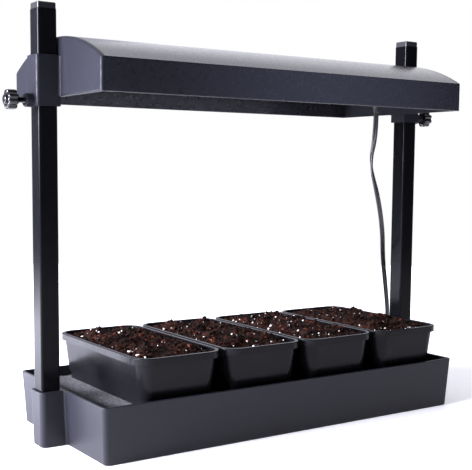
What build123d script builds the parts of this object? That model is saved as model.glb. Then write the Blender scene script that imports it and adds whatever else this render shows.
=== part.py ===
from build123d import *
import math
import os

# Led grow light garden, in millimetres. X runs along the tray, Y to its back, Z up.
# The origin is the middle of the tray's foot, on the table.

# Pots in a row, and the room that the tray leaves round them
pot_count = 4
pot_lip_width = 99.0
pot_lip_length = 194.0
pot_spacing = 3.0
pot_end_gap = 2.0  # from a lip to the tray's wall, in front and behind
bay_left = 37.5
bay_right = 11.5

# Tray: one moulding with a post socket on each end
tray_height = 57.0
tray_lean = 3.2  # how far each side stands in at the foot
tray_wall = 3.0
tray_floor = 3.0
tray_corner = 5.0
tray_foot_chamfer = 1.2
tray_rim_round = 0.7
socket_wall = 2.5  # outside the post
socket_cheek = 3.9  # in front of and behind the post
socket_lean = 1.4
socket_corner = 5.0
socket_root_round = 2.0
socket_floor = 6.0
socket_fit = 0.15

# Deck and mat inside the tray
deck_top = 43.7
deck_plate = 3.0
deck_gap = 1.0
deck_corner = 4.0
leg_diameter = 18.0
leg_wall = 2.5
leg_columns = 5
leg_rows = 2
leg_margin = 36.0
wick_length = 70.0
wick_thickness = 2.6
wick_spacing = 230.0
wick_slot_fit = 0.4
wick_foot = 1.0  # the wick's end above the tray's floor
mat_thickness = 3.0
mat_gap = 1.5  # inside the deck's edge

# Posts: square tube with a plug on top
post_size = 20.0
post_wall = 1.5
post_corner = 2.0
post_top = 433.0
post_gap = 1.5  # from the hood's end face to the post
plug_head_set_in = 0.5  # all round the tube
plug_head_height = 6.2
plug_head_chamfer = 0.8
plug_depth = 16.0
plug_wall = 1.6
plug_fit = 0.1

# Hood: arched shell between two end caps
hood_overhang = 1.0  # past each end of the tray
hood_depth = 205.0
hood_bottom = 349.0
fascia_height = 31.4
crown_rise = 27.1
hood_wall = 2.5
eave_groove = 0.9
eave_groove_depth = 0.7
hood_lip_round = 0.8
top_pad_length = 28.0
top_pad_width = 11.0
top_pad_height = 1.3
top_pad_round = 0.6
cap_flange = 4.0
cap_edge_round = 2.4
spigot_depth = 10.0
spigot_wall = 2.0
spigot_fit = 0.2

# Guides on the end caps: sleeve above, collar below, screw boss outside
guide_fit = 0.25
guide_wall = 2.5
guide_corner = 3.0
guide_root_round = 2.6  # where the sleeve runs into the end face
guide_top_round = 1.0
sleeve_height = 40.0
collar_drop = 9.4
collar_reach = 1.6  # under the hood, past its end face
boss_diameter = 13.5
boss_length = 7.8
boss_rise = 5.4  # axis above the collar's lower edge
boss_chamfer = 1.0
insert_diameter = 9.0
insert_length = 8.4
insert_fit = 0.05
insert_setback = 0.6  # behind the sleeve's inner face
insert_groove = 0.5

# Thumbscrews
stud_diameter = 6.0
stud_fit = 0.3
stud_tip_gap = 0.3
stud_chamfer = 0.8
stud_bare = 8.4  # thread seen between boss and knob
knob_diameter = 19.6
knob_thickness = 10.4
knob_lobes = 8
flute_radius = 2.5
flute_offset = 1.0  # flute's centre outside the knob's rim
flute_lip = 0.9
knob_round = 2.2
hub_diameter = 9.0
hub_height = 2.0
hub_round = 1.2
knob_bore_depth = 8.0
knob_bore_fit = 0.05

# Lamp under the hood
mount_level = 39.0  # lower end of the screw bosses above the hood's lower edge
mount_inset = 55.0  # from each end of the lamp
mount_spacing_y = 48.0
mount_diameter = 8.0
screw_diameter = 3.0
screw_hole_fit = 0.1
screw_depth = 9.0
screw_hole_depth = 10.0
screw_head_diameter = 5.6
screw_head_height = 2.2
screw_head_round = 0.9
screw_pass_fit = 0.2
reflector_gauge = 0.8
reflector_overlap = 15.0  # past each end of the lamp
reflector_flat = 62.0
reflector_width = 126.0
reflector_fall = 17.0
reflector_hem = 3.0
reflector_bend = 2.0
clip_gauge = 1.2
clip_width = 14.0
clip_span = 60.0
clip_arm = 9.5
clip_fit = 0.3
hook_reach = 1.2
hook_height = 1.6
lamp_end_room = 56.0  # from the lamp's end to the hood's
lamp_width = 32.0
lamp_height = 20.0
lamp_wall = 1.5
lamp_corner = 1.2
cavity_height = 12.0
web_thickness = 1.5
groove_depth = 1.2
groove_height = 2.4
groove_fall = 9.0  # groove's upper edge below the lamp's top
lens_slot_depth = 0.8
lens_slot_rise = 1.0
lens_wall = 1.0
lens_fit = 0.1
lens_drop = 6.0
lens_side_gap = 0.3
led_board_width = 18.0
led_board_thickness = 1.6
led_board_margin = 5.0
chip_length = 3.5
chip_width = 2.8
chip_height = 0.8
chip_count = 24
chip_rows = 2
chip_row_spacing = 8.0
lamp_cap_thickness = 7.0
lamp_cap_side = 0.8
lamp_cap_top = 0.5
lamp_cap_below = 0.8
lamp_cap_corner = 3.0
lamp_cap_round = 0.8
lamp_spigot_depth = 6.0
lamp_spigot_fit = 0.2
driver_length = 95.0
driver_width = 24.0
driver_thickness = 1.6
driver_setback = 16.0  # from the lamp's right end
driver_floor_gap = 0.5
terminal_share = 0.08  # of the driver's length, as the next two
transformer_share = 0.17
capacitor_share = 0.2
terminal_margin = 3.6
inlet_width = 14.0
inlet_height = 8.0
inlet_depth = 10.0
inlet_rise = 7.0  # axis above the cavity's floor
pin_diameter = 2.4
pin_spacing = 8.6
pin_length = 15.0
pin_fit = 0.15
wire_diameter = 1.6

# Rocker switch in the lamp's left cap
rocker_length = 12.6
rocker_width = 8.0
rocker_fit = 0.35
rocker_depth = 5.2
rocker_proud = 1.1
rocker_tilt = 7.0  # degrees
rocker_pin_diameter = 2.0
rocker_pin_length = 0.8
rocker_pin_fit = 0.08

# Cord: flat two-core lead with its angled connector, put-away coil and plug
cord_width = 6.2
cord_table_gap = 0.1
connector_reach = 19.0
connector_width = 17.0
connector_height = 14.0
connector_round = 2.5
connector_gap = 0.3
nose_fit = 0.2
nose_gap = 0.5
relief_top_diameter = 11.0
relief_tip_diameter = 7.6
relief_length = 22.0
relief_rings = 5
relief_ring_depth = 0.6
relief_reach = 11.7  # from the connector's face to the relief's axis
coil_x = 130.0
coil_standoff = 60.0  # from the tray's back to the coil's middle
coil_middle_radius = 34.0
coil_turns = 5.5
coil_step = 6.8  # turn to turn and layer to layer
coil_lift = 4.2
coil_climb_turns = 0.5  # from the lower layer to the upper one
coil_way_out = 44.0
tie_thickness = 0.8
tie_width = 12.0
tie_gap = 0.35
tie_turns = 0.25  # from the coil's start, which puts the strap at its left side
plug_length = 30.0
plug_width = 25.0
plug_thickness = 16.0
plug_nose_share = 0.62
plug_round = 3.0
blade_length = 17.0
blade_width = 6.4
blade_thickness = 1.5
blade_spacing = 12.7
blade_hole_diameter = 3.0
blade_hole_setback = 4.5

# One pot and its filling
pot_height = 50.5
pot_lip_reach = 2.6
pot_lip_height = 7.0
pot_lip_round = 0.8
pot_taper = 6.4  # how far each wall stands in at the foot
pot_corner = 16.0
pot_wall = 1.4
pot_foot_height = 9.0
pot_foot_step = 1.4
pot_seat_gap = 0.3
drain_diameter = 9.0
drain_columns = 2
drain_rows = 3
mix_gap = 0.3
mix_below_rim = 5.0  # at the walls
mix_crown = 7.0
lump_columns = 2
lump_rows = 4
lump_pitch = 40.0
lump_reach = 19.0  # from its middle to its edge
lump_height = 10.0
lump_rise_shares = (0.45, 0.6, 0.35, 0.55, 0.6, 0.4, 0.5, 0.3)  # of its height, over the heap's crown
overrun = 1.0

# Sizes and places that follow: pots, tray round them, hood over the tray, lamp in the hood
pot_pitch = pot_lip_width + pot_spacing
pot_row_x = (bay_left - bay_right) / 2
tray_length = pot_count * pot_pitch - pot_spacing + bay_left + bay_right + 2 * tray_wall
tray_depth = pot_lip_length + 2 * (pot_end_gap + tray_wall)
hood_length = tray_length + 2 * hood_overhang
lamp_length = hood_length - 2 * lamp_end_room
reflector_length = lamp_length + 2 * reflector_overlap
mount_spacing_x = lamp_length - 2 * mount_inset
coil_y = tray_depth / 2 + coil_standoff
hood_half = hood_length / 2
post_x = hood_half + post_gap + post_size / 2
plug_head = post_size - 2 * plug_head_set_in
socket_outer = post_x + post_size / 2 + socket_fit + socket_wall
socket_half = post_size / 2 + socket_fit + socket_cheek
shell_half = hood_half - cap_flange
crown_radius = ((hood_depth / 2) ** 2 + crown_rise**2) / (2 * crown_rise)
crown_centre = hood_bottom + fascia_height + crown_rise - crown_radius
guide_hole = post_size + 2 * guide_fit
guide_outer = post_x + guide_hole / 2 + guide_wall
guide_half = guide_hole / 2 + guide_wall
collar_bottom = hood_bottom - collar_drop
boss_z = collar_bottom + boss_rise
boss_end = guide_outer + boss_length
mount_z = hood_bottom + mount_level
clip_z = mount_z - reflector_gauge - clip_gauge
lamp_top = clip_z
lamp_bottom = lamp_top - lamp_height
cavity_top = lamp_top - lamp_wall
cavity_floor = cavity_top - cavity_height
web_bottom = cavity_floor - web_thickness
channel_half = lamp_width / 2 - lamp_wall
lamp_end = lamp_length / 2 + lamp_cap_thickness
inlet_z = cavity_floor + inlet_rise
mat_top = deck_top + mat_thickness
pot_foot = mat_top + pot_seat_gap
pot_rim = pot_foot + pot_height

os.makedirs("parts", exist_ok=True)


def save(piece, name):
    """Label one finished piece and write its file."""
    piece.part.label = name
    export_step(piece.part, f"parts/{name}.step")


def tray_inset(z):
    """How far the tray's outer sides stand in at height z."""
    return tray_lean * (1 - z / tray_height)


def tray_hollow(z):
    """Plan of the tray's hollow at height z."""
    drawn_in = 2 * (tray_inset(z) + tray_wall)
    with BuildSketch() as plan:
        RectangleRounded(tray_length - drawn_in, tray_depth - drawn_in, tray_corner - tray_wall)
    return plan.sketch


def crown_z(y, inset):
    """Height of the hood's arch over y, measured inset below its outer face."""
    return crown_centre + math.sqrt((crown_radius - inset) ** 2 - y**2)


def hood_profile(inset, below=0.0):
    """End view of the hood, drawn in from its outer face; below lowers its open edge."""
    half = hood_depth / 2 - inset
    low = hood_bottom - below
    eave = crown_z(half, inset)
    with BuildSketch() as view:
        with BuildLine():
            Line((-half, low), (-half, eave))
            ThreePointArc((-half, eave), (0, crown_z(0, inset)), (half, eave))
            Line((half, eave), (half, low))
            Line((half, low), (-half, low))
        make_face()
    return view.sketch


def tray_plan(z, inset=0.0):
    """The tray's outer plan at height z, with both sockets and rounded corners."""
    lean_in = socket_lean * (1 - z / tray_height) + inset
    drawn_in = 2 * (tray_inset(z) + inset)
    reach = 2 * (socket_outer - lean_in)
    width = 2 * (socket_half - lean_in)
    with BuildSketch() as plan:
        RectangleRounded(tray_length - drawn_in, tray_depth - drawn_in, tray_corner - inset)
        Rectangle(reach, width)
        ends = plan.vertices().group_by(Axis.X)
        fillet(ends[0] + ends[-1], socket_corner - inset)
        roots = [v for v in plan.vertices() if abs(abs(v.Y) - width / 2) < overrun]
        roots = [v for v in roots if abs(v.X) < tray_length / 2 + overrun]
        fillet(roots, socket_root_round + inset)
    return plan.sketch


# Base tray
with BuildPart() as base_tray:
    for z, inset in ((0, tray_foot_chamfer), (tray_foot_chamfer, 0), (tray_height, 0)):
        with BuildSketch(Plane.XY.offset(z)):
            add(tray_plan(z, inset))
    loft(ruled=True)
    for z in (tray_floor, tray_height):
        with BuildSketch(Plane.XY.offset(z)):
            add(tray_hollow(z))
    loft(ruled=True, mode=Mode.SUBTRACT)
    with BuildSketch(Plane.XY.offset(socket_floor)):
        with Locations((-post_x, 0), (post_x, 0)):
            RectangleRounded(post_size + 2 * socket_fit, post_size + 2 * socket_fit, post_corner)
    extrude(amount=tray_height, mode=Mode.SUBTRACT)
    rim = base_tray.faces().filter_by(Axis.Z).sort_by(Axis.Z)[-1]
    fillet(rim.edges(), tray_rim_round)
save(base_tray, "base_tray")

# Deck on legs, and the mat over it with wicks into the water
deck_bottom = deck_top - deck_plate
deck_length = tray_length - 2 * (tray_inset(deck_bottom) + tray_wall + deck_gap)
deck_depth = tray_depth - 2 * (tray_inset(deck_bottom) + tray_wall + deck_gap)
leg_pitch_x = (deck_length - 2 * leg_margin) / (leg_columns - 1)
leg_pitch_y = (deck_depth - 2 * leg_margin) / (leg_rows - 1)
with BuildPart() as mat_deck:
    with BuildSketch(Plane.XY.offset(deck_bottom)):
        RectangleRounded(deck_length, deck_depth, deck_corner)
        with GridLocations(wick_spacing, 0, 2, 1):
            SlotOverall(
                wick_length + 2 * wick_slot_fit, wick_thickness + 2 * wick_slot_fit, mode=Mode.SUBTRACT
            )
    extrude(amount=deck_plate)
    with BuildSketch(Plane.XY.offset(tray_floor)):
        with GridLocations(leg_pitch_x, leg_pitch_y, leg_columns, leg_rows):
            Circle(leg_diameter / 2)
            Circle(leg_diameter / 2 - leg_wall, mode=Mode.SUBTRACT)
    extrude(amount=deck_bottom - tray_floor)
save(mat_deck, "mat_deck")

with BuildPart() as capillary_mat:
    with BuildSketch(Plane.XY.offset(deck_top)):
        RectangleRounded(deck_length - 2 * mat_gap, deck_depth - 2 * mat_gap, deck_corner)
    extrude(amount=mat_thickness)
    with BuildSketch(Plane.XY.offset(deck_top)):
        with GridLocations(wick_spacing, 0, 2, 1):
            SlotOverall(wick_length, wick_thickness)
    extrude(amount=-(deck_top - tray_floor - wick_foot))
save(capillary_mat, "capillary_mat")

# Posts and their plugs
bore = post_size - 2 * post_wall
bore_corner = post_corner - post_wall
for side, name in ((-1, "left"), (1, "right")):
    with BuildPart() as post:
        with BuildSketch(Plane((side * post_x, 0, socket_floor))):
            RectangleRounded(post_size, post_size, post_corner)
            RectangleRounded(bore, bore, bore_corner, mode=Mode.SUBTRACT)
        extrude(amount=post_top - socket_floor)
    save(post, f"{name}_post")
    with BuildPart() as post_cap:
        with BuildSketch(Plane((side * post_x, 0, post_top))):
            RectangleRounded(plug_head, plug_head, post_corner - plug_head_set_in)
        extrude(amount=plug_head_height)
        chamfer(post_cap.faces().sort_by(Axis.Z)[-1].edges(), plug_head_chamfer)
        with BuildSketch(Plane((side * post_x, 0, post_top))):
            RectangleRounded(bore - 2 * plug_fit, bore - 2 * plug_fit, bore_corner)
            hollow = bore - 2 * plug_fit - 2 * plug_wall
            Rectangle(hollow, hollow, mode=Mode.SUBTRACT)
        extrude(amount=-plug_depth)
    save(post_cap, f"{name}_post_cap")

# Hood shell with its screw bosses
mount_y = mount_spacing_y / 2
with BuildPart() as hood_shell:
    with BuildSketch(Plane.YZ):
        add(hood_profile(0))
        add(hood_profile(hood_wall, overrun), mode=Mode.SUBTRACT)
    extrude(amount=shell_half, both=True)
    lip = hood_shell.edges().filter_by(Axis.X).group_by(Axis.Z)[0]
    fillet(lip, hood_lip_round)
    with BuildSketch(Plane.YZ):
        eave_z = hood_bottom + fascia_height - eave_groove / 2
        with Locations((-hood_depth / 2, eave_z), (hood_depth / 2, eave_z)):
            Rectangle(2 * eave_groove_depth, eave_groove)
    extrude(amount=shell_half, both=True, mode=Mode.SUBTRACT)
    with BuildSketch(Plane.XY.offset(mount_z)):
        with GridLocations(mount_spacing_x, mount_spacing_y, 2, 2):
            Circle(mount_diameter / 2)
    extrude(amount=crown_z(mount_y, hood_wall / 2) - mount_z)
    with BuildSketch(Plane.XY.offset(mount_z)):
        with GridLocations(mount_spacing_x, mount_spacing_y, 2, 2):
            Circle(screw_diameter / 2 + screw_hole_fit)
    extrude(amount=screw_hole_depth, mode=Mode.SUBTRACT)
    with BuildSketch(Plane.XY.offset(crown_z(0, hood_wall / 2))):
        SlotOverall(top_pad_length, top_pad_width)
    extrude(amount=hood_wall / 2 + top_pad_height)
    fillet(hood_shell.faces().filter_by(Axis.Z).sort_by(Axis.Z)[-1].edges(), top_pad_round)
save(hood_shell, "hood_shell")

# End caps: flange, spigot, sleeve, collar and boss in one moulding
for side, name in ((-1, "left"), (1, "right")):
    with BuildPart() as end_cap:
        with BuildSketch(Plane.YZ.offset(shell_half)):
            add(hood_profile(0))
        extrude(amount=cap_flange)
        fillet(end_cap.faces().sort_by(Axis.X)[-1].edges(), cap_edge_round)
        with BuildSketch(Plane.YZ.offset(shell_half)):
            add(hood_profile(hood_wall + spigot_fit))
            add(hood_profile(hood_wall + spigot_fit + spigot_wall, overrun), mode=Mode.SUBTRACT)
        extrude(amount=-spigot_depth)
        with BuildSketch(Plane(((shell_half + guide_outer) / 2, 0, hood_bottom))) as sleeve_plan:
            Rectangle(guide_outer - shell_half, 2 * guide_half)
            fillet(sleeve_plan.vertices().group_by(Axis.X)[-1], guide_corner)
        extrude(amount=sleeve_height)
        sleeve_top = [
            e
            for e in end_cap.faces().filter_by(Axis.Z).sort_by(Axis.Z)[-1].edges()
            if e.center().X > hood_half + guide_top_round
        ]
        fillet(sleeve_top, guide_top_round)
        with BuildSketch(Plane((hood_half, 0, hood_bottom))):
            for flank in (-1, 1):
                root_y = flank * (guide_half + guide_root_round)
                with Locations((guide_root_round, root_y)):
                    Rectangle(
                        guide_root_round + overrun,
                        guide_root_round + overrun,
                        align=(Align.MAX, Align.MAX if flank > 0 else Align.MIN),
                    )
                    Circle(guide_root_round, mode=Mode.SUBTRACT)
        extrude(amount=sleeve_height - guide_top_round)
        collar_inner = hood_half - collar_reach
        with BuildSketch(Plane(((collar_inner + guide_outer) / 2, 0, collar_bottom))):
            RectangleRounded(guide_outer - collar_inner, 2 * guide_half, guide_corner)
        extrude(amount=collar_drop)
        with BuildSketch(Plane.YZ.offset(guide_outer - guide_wall)):
            with Locations((0, boss_z)):
                Circle(boss_diameter / 2)
        extrude(amount=guide_wall + boss_length)
        chamfer(end_cap.faces().sort_by(Axis.X)[-1].edges(), boss_chamfer)
        with BuildSketch(Plane((post_x, 0, collar_bottom))):
            RectangleRounded(guide_hole, guide_hole, post_corner)
        extrude(amount=collar_drop + sleeve_height, mode=Mode.SUBTRACT)
        with BuildSketch(Plane.YZ.offset(post_x)):
            with Locations((0, boss_z)):
                Circle(stud_diameter / 2 + stud_fit)
        extrude(amount=boss_end - post_x, mode=Mode.SUBTRACT)
        with BuildSketch(Plane.YZ.offset(post_x)):
            with Locations((0, boss_z)):
                Circle(insert_diameter / 2 + insert_fit)
        seat_depth = guide_hole / 2 + insert_setback + insert_length
        extrude(amount=seat_depth, mode=Mode.SUBTRACT)
        if side < 0:
            mirror(about=Plane.YZ, mode=Mode.REPLACE)
    save(end_cap, f"{name}_end_cap")

    insert_x = post_x + guide_hole / 2 + insert_setback
    with BuildPart() as insert:
        with BuildSketch(Plane.YZ.offset(insert_x)):
            with Locations((0, boss_z)):
                Circle(insert_diameter / 2)
                Circle(stud_diameter / 2 + stud_fit / 2, mode=Mode.SUBTRACT)
        extrude(amount=insert_length)
        with BuildSketch(Plane.YZ.offset(insert_x + (insert_length - insert_groove) / 2)):
            with Locations((0, boss_z)):
                Circle(insert_diameter / 2)
                Circle(insert_diameter / 2 - insert_groove, mode=Mode.SUBTRACT)
        extrude(amount=insert_groove, mode=Mode.SUBTRACT)
        if side < 0:
            mirror(about=Plane.YZ, mode=Mode.REPLACE)
    save(insert, f"{name}_insert")

    tip_x = post_x + post_size / 2 + stud_tip_gap
    knob_x = boss_end + stud_bare
    with BuildPart() as stud:
        with BuildSketch(Plane.YZ.offset(tip_x)):
            with Locations((0, boss_z)):
                Circle(stud_diameter / 2)
        extrude(amount=knob_x + knob_bore_depth - tip_x)
        chamfer(stud.faces().sort_by(Axis.X)[0].edges(), stud_chamfer)
        if side < 0:
            mirror(about=Plane.YZ, mode=Mode.REPLACE)
    save(stud, f"{name}_stud")

    with BuildPart() as knob:
        with BuildSketch(Plane.YZ.offset(knob_x)) as star:
            with Locations((0, boss_z)):
                Circle(knob_diameter / 2)
                with PolarLocations(knob_diameter / 2 + flute_offset, knob_lobes):
                    Circle(flute_radius, mode=Mode.SUBTRACT)
            fillet(star.vertices(), flute_lip)
        extrude(amount=knob_thickness)
        outer_edges = knob.faces().sort_by(Axis.X)[-1].edges() + knob.faces().sort_by(Axis.X)[0].edges()
        fillet(outer_edges, knob_round)
        with BuildSketch(Plane.YZ.offset(knob_x + knob_thickness)):
            with Locations((0, boss_z)):
                Circle(hub_diameter / 2)
        extrude(amount=hub_height)
        fillet(knob.faces().sort_by(Axis.X)[-1].edges(), hub_round)
        with BuildSketch(Plane.YZ.offset(knob_x)):
            with Locations((0, boss_z)):
                Circle(stud_diameter / 2 + knob_bore_fit)
        extrude(amount=knob_bore_depth, mode=Mode.SUBTRACT)
        if side < 0:
            mirror(about=Plane.YZ, mode=Mode.REPLACE)
    save(knob, f"{name}_knob")

# Reflector: bent sheet under the screw bosses
with BuildPart() as reflector:
    with BuildSketch(Plane.YZ) as bent:
        with BuildLine() as sheet:
            edge_z = mount_z - reflector_fall
            FilletPolyline(
                (-reflector_width / 2, edge_z - reflector_hem),
                (-reflector_width / 2, edge_z),
                (-reflector_flat / 2, mount_z),
                (reflector_flat / 2, mount_z),
                (reflector_width / 2, edge_z),
                (reflector_width / 2, edge_z - reflector_hem),
                radius=reflector_bend,
            )
            offset(amount=reflector_gauge, side=Side.RIGHT)
        make_face()
    extrude(amount=reflector_length / 2, both=True)
    with BuildSketch(Plane.XY.offset(mount_z)):
        with GridLocations(mount_spacing_x, mount_spacing_y, 2, 2):
            Circle(screw_diameter / 2 + screw_pass_fit)
    extrude(amount=-reflector_gauge, mode=Mode.SUBTRACT)
save(reflector, "reflector")

# Spring clips that hold the lamp, and their screws
arm_y = lamp_width / 2 + clip_fit
hook_z = lamp_top - groove_fall - (groove_height + hook_height) / 2
with BuildPart() as lamp_clips:
    for place in (-mount_spacing_x / 2, mount_spacing_x / 2):
        with BuildSketch(Plane.YZ.offset(place - clip_width / 2)):
            with Locations((0, clip_z + clip_gauge / 2)):
                Rectangle(clip_span, clip_gauge)
            for way in (-1, 1):
                with Locations((way * (arm_y + clip_gauge / 2), lamp_top - clip_arm - hook_height / 2)):
                    Rectangle(clip_gauge, 2 * clip_arm + hook_height)
                with Locations((way * (arm_y - hook_reach / 2), hook_z + hook_height / 2)):
                    Rectangle(hook_reach, hook_height)
        extrude(amount=clip_width)
    with BuildSketch(Plane.XY.offset(clip_z)):
        with GridLocations(mount_spacing_x, mount_spacing_y, 2, 2):
            Circle(screw_diameter / 2 + screw_pass_fit)
    extrude(amount=clip_gauge, mode=Mode.SUBTRACT)
save(lamp_clips, "lamp_clips")

with BuildPart() as clip_screws:
    with BuildSketch(Plane.XY.offset(clip_z)):
        with GridLocations(mount_spacing_x, mount_spacing_y, 2, 2):
            Circle(screw_head_diameter / 2)
    extrude(amount=-screw_head_height)
    fillet(clip_screws.edges().group_by(Axis.Z)[0], screw_head_round)
    with BuildSketch(Plane.XY.offset(clip_z)):
        with GridLocations(mount_spacing_x, mount_spacing_y, 2, 2):
            Circle(screw_diameter / 2)
    extrude(amount=clip_gauge + reflector_gauge + screw_depth)
save(clip_screws, "clip_screws")

# Lamp body: extrusion with a closed cavity above and a channel below
with BuildPart() as lamp_body:
    with BuildSketch(Plane.YZ):
        with Locations((0, lamp_top - lamp_height / 2)):
            RectangleRounded(lamp_width, lamp_height, lamp_corner)
        with Locations((0, cavity_floor + cavity_height / 2)):
            Rectangle(2 * channel_half, cavity_height, mode=Mode.SUBTRACT)
        channel_height = web_bottom - lamp_bottom + overrun
        with Locations((0, web_bottom - channel_height / 2)):
            Rectangle(2 * channel_half, channel_height, mode=Mode.SUBTRACT)
        slot_height = lens_wall + 2 * lens_fit
        with Locations((0, lamp_bottom + lens_slot_rise + slot_height / 2)):
            Rectangle(2 * (channel_half + lens_slot_depth), slot_height, mode=Mode.SUBTRACT)
        groove_z = lamp_top - groove_fall - groove_height / 2
        with Locations((-lamp_width / 2, groove_z), (lamp_width / 2, groove_z)):
            Rectangle(2 * groove_depth, groove_height, mode=Mode.SUBTRACT)
    extrude(amount=lamp_length / 2, both=True)
save(lamp_body, "lamp_body")

# Diffuser: arched lens on two tongues that slide in the channel's slots
tongue_z = lamp_bottom + lens_slot_rise + lens_fit
dome_half = channel_half - lens_side_gap
with BuildPart() as lamp_diffuser:
    with BuildSketch(Plane.YZ):
        with BuildLine():
            ThreePointArc((-dome_half, tongue_z), (0, tongue_z - lens_drop), (dome_half, tongue_z))
            Line((dome_half, tongue_z), (dome_half - lens_wall, tongue_z))
            ThreePointArc(
                (dome_half - lens_wall, tongue_z),
                (0, tongue_z - lens_drop + lens_wall),
                (lens_wall - dome_half, tongue_z),
            )
            Line((lens_wall - dome_half, tongue_z), (-dome_half, tongue_z))
        make_face()
        tongue_outer = channel_half + lens_slot_depth - lens_fit
        tongue_inner = dome_half - 2 * lens_wall
        for way in (-1, 1):
            with Locations((way * (tongue_outer + tongue_inner) / 2, tongue_z + lens_wall / 2)):
                Rectangle(tongue_outer - tongue_inner, lens_wall)
    extrude(amount=lamp_length / 2, both=True)
save(lamp_diffuser, "lamp_diffuser")

# Led board under the web, with its chips facing down
led_length = lamp_length - 2 * led_board_margin
board_z = web_bottom - led_board_thickness
with BuildPart() as led_board:
    with BuildSketch(Plane.XY.offset(board_z)):
        Rectangle(led_length, led_board_width)
    extrude(amount=led_board_thickness)
save(led_board, "led_board")

with BuildPart() as led_chips:
    with BuildSketch(Plane.XY.offset(board_z)):
        with GridLocations(led_length / chip_count, chip_row_spacing, chip_count, chip_rows):
            Rectangle(chip_length, chip_width)
    extrude(amount=-chip_height)
save(led_chips, "led_chips")

# Driver in the cavity: board and the parts on it
driver_x = lamp_length / 2 - driver_setback - driver_length / 2
driver_z = cavity_floor + driver_floor_gap
with BuildPart() as driver_board:
    with BuildSketch(Plane((driver_x, 0, driver_z))):
        Rectangle(driver_length, driver_width)
    extrude(amount=driver_thickness)
save(driver_board, "driver_board")

parts_z = driver_z + driver_thickness
parts_room = cavity_top - parts_z - lamp_spigot_fit
with BuildPart() as driver_parts:
    terminal_x = driver_x + driver_length / 2 - terminal_share * driver_length / 2
    with BuildSketch(Plane((terminal_x, 0, parts_z))):
        Rectangle(terminal_share * driver_length, pin_spacing + 2 * terminal_margin)
    extrude(amount=parts_room)
    with BuildSketch(Plane((driver_x, 0, parts_z))):
        Rectangle(transformer_share * driver_length, transformer_share * driver_length)
    extrude(amount=parts_room)
    barrel = parts_room / 2 - lamp_spigot_fit
    for way in (-1, 1):
        barrel_x = driver_x + way * driver_length / 4
        with BuildSketch(Plane.YZ.offset(barrel_x - capacitor_share * driver_length / 2)):
            with Locations((0, parts_z + barrel)):
                Circle(barrel)
        extrude(amount=capacitor_share * driver_length)
save(driver_parts, "driver_parts")


def lamp_cap():
    """The lamp's right end cap with its spigot, before its opening is cut."""
    low = tongue_z - lens_drop - lamp_cap_below
    high = lamp_top + lamp_cap_top
    with BuildPart() as cap:
        with BuildSketch(Plane.YZ.offset(lamp_length / 2)):
            with Locations((0, (low + high) / 2)):
                RectangleRounded(lamp_width + 2 * lamp_cap_side, high - low, lamp_cap_corner)
        extrude(amount=lamp_cap_thickness)
        fillet(cap.faces().sort_by(Axis.X)[-1].edges(), lamp_cap_round)
        with BuildSketch(Plane.YZ.offset(lamp_length / 2)):
            with Locations((0, cavity_floor + cavity_height / 2)):
                Rectangle(2 * (channel_half - lamp_spigot_fit), cavity_height - 2 * lamp_spigot_fit)
        extrude(amount=-lamp_spigot_depth)
    return cap.part


# Lamp's right cap with the inlet, its pins and their wires to the driver
inlet_floor = lamp_end - inlet_depth
with BuildPart() as right_lamp_cap:
    add(lamp_cap())
    with BuildSketch(Plane.YZ.offset(lamp_end)):
        with Locations((0, inlet_z)):
            SlotOverall(inlet_width, inlet_height)
    extrude(amount=-inlet_depth, mode=Mode.SUBTRACT)
    with BuildSketch(Plane.YZ.offset(inlet_floor)):
        with Locations((-pin_spacing / 2, inlet_z), (pin_spacing / 2, inlet_z)):
            Circle(pin_diameter / 2)
    extrude(amount=-lamp_length, mode=Mode.SUBTRACT)
save(right_lamp_cap, "right_lamp_cap")

pin_tip = lamp_end - lamp_cap_round
with BuildPart() as inlet_pins:
    with BuildSketch(Plane.YZ.offset(pin_tip - pin_length)):
        with Locations((-pin_spacing / 2, inlet_z), (pin_spacing / 2, inlet_z)):
            Circle(pin_diameter / 2)
    extrude(amount=pin_length)
    fillet(inlet_pins.faces().group_by(Axis.X)[-1].edges(), pin_diameter / 4)
save(inlet_pins, "inlet_pins")

driver_end = driver_x + driver_length / 2
with BuildPart() as lead_wires:
    with BuildSketch(Plane.YZ.offset(driver_end)):
        with Locations((-pin_spacing / 2, inlet_z), (pin_spacing / 2, inlet_z)):
            Circle(wire_diameter / 2)
    extrude(amount=pin_tip - pin_length - driver_end)
save(lead_wires, "lead_wires")

# Lamp's left cap with the rocker's opening
pocket_length = rocker_length + 2 * rocker_fit
pocket_width = rocker_width + 2 * rocker_fit
pivot_x = lamp_end - rocker_depth / 2
with BuildPart() as left_lamp_cap:
    add(lamp_cap())
    with BuildSketch(Plane.YZ.offset(lamp_end)):
        with Locations((0, inlet_z)):
            Rectangle(pocket_length, pocket_width)
    extrude(amount=-2 * rocker_depth, mode=Mode.SUBTRACT)
    with BuildSketch(Plane((pivot_x, 0, inlet_z))):
        Circle(rocker_pin_diameter / 2 + rocker_pin_fit)
    extrude(amount=rocker_width / 2 + rocker_pin_length + rocker_fit, both=True, mode=Mode.SUBTRACT)
    mirror(about=Plane.YZ, mode=Mode.REPLACE)
save(left_lamp_cap, "left_lamp_cap")

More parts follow.
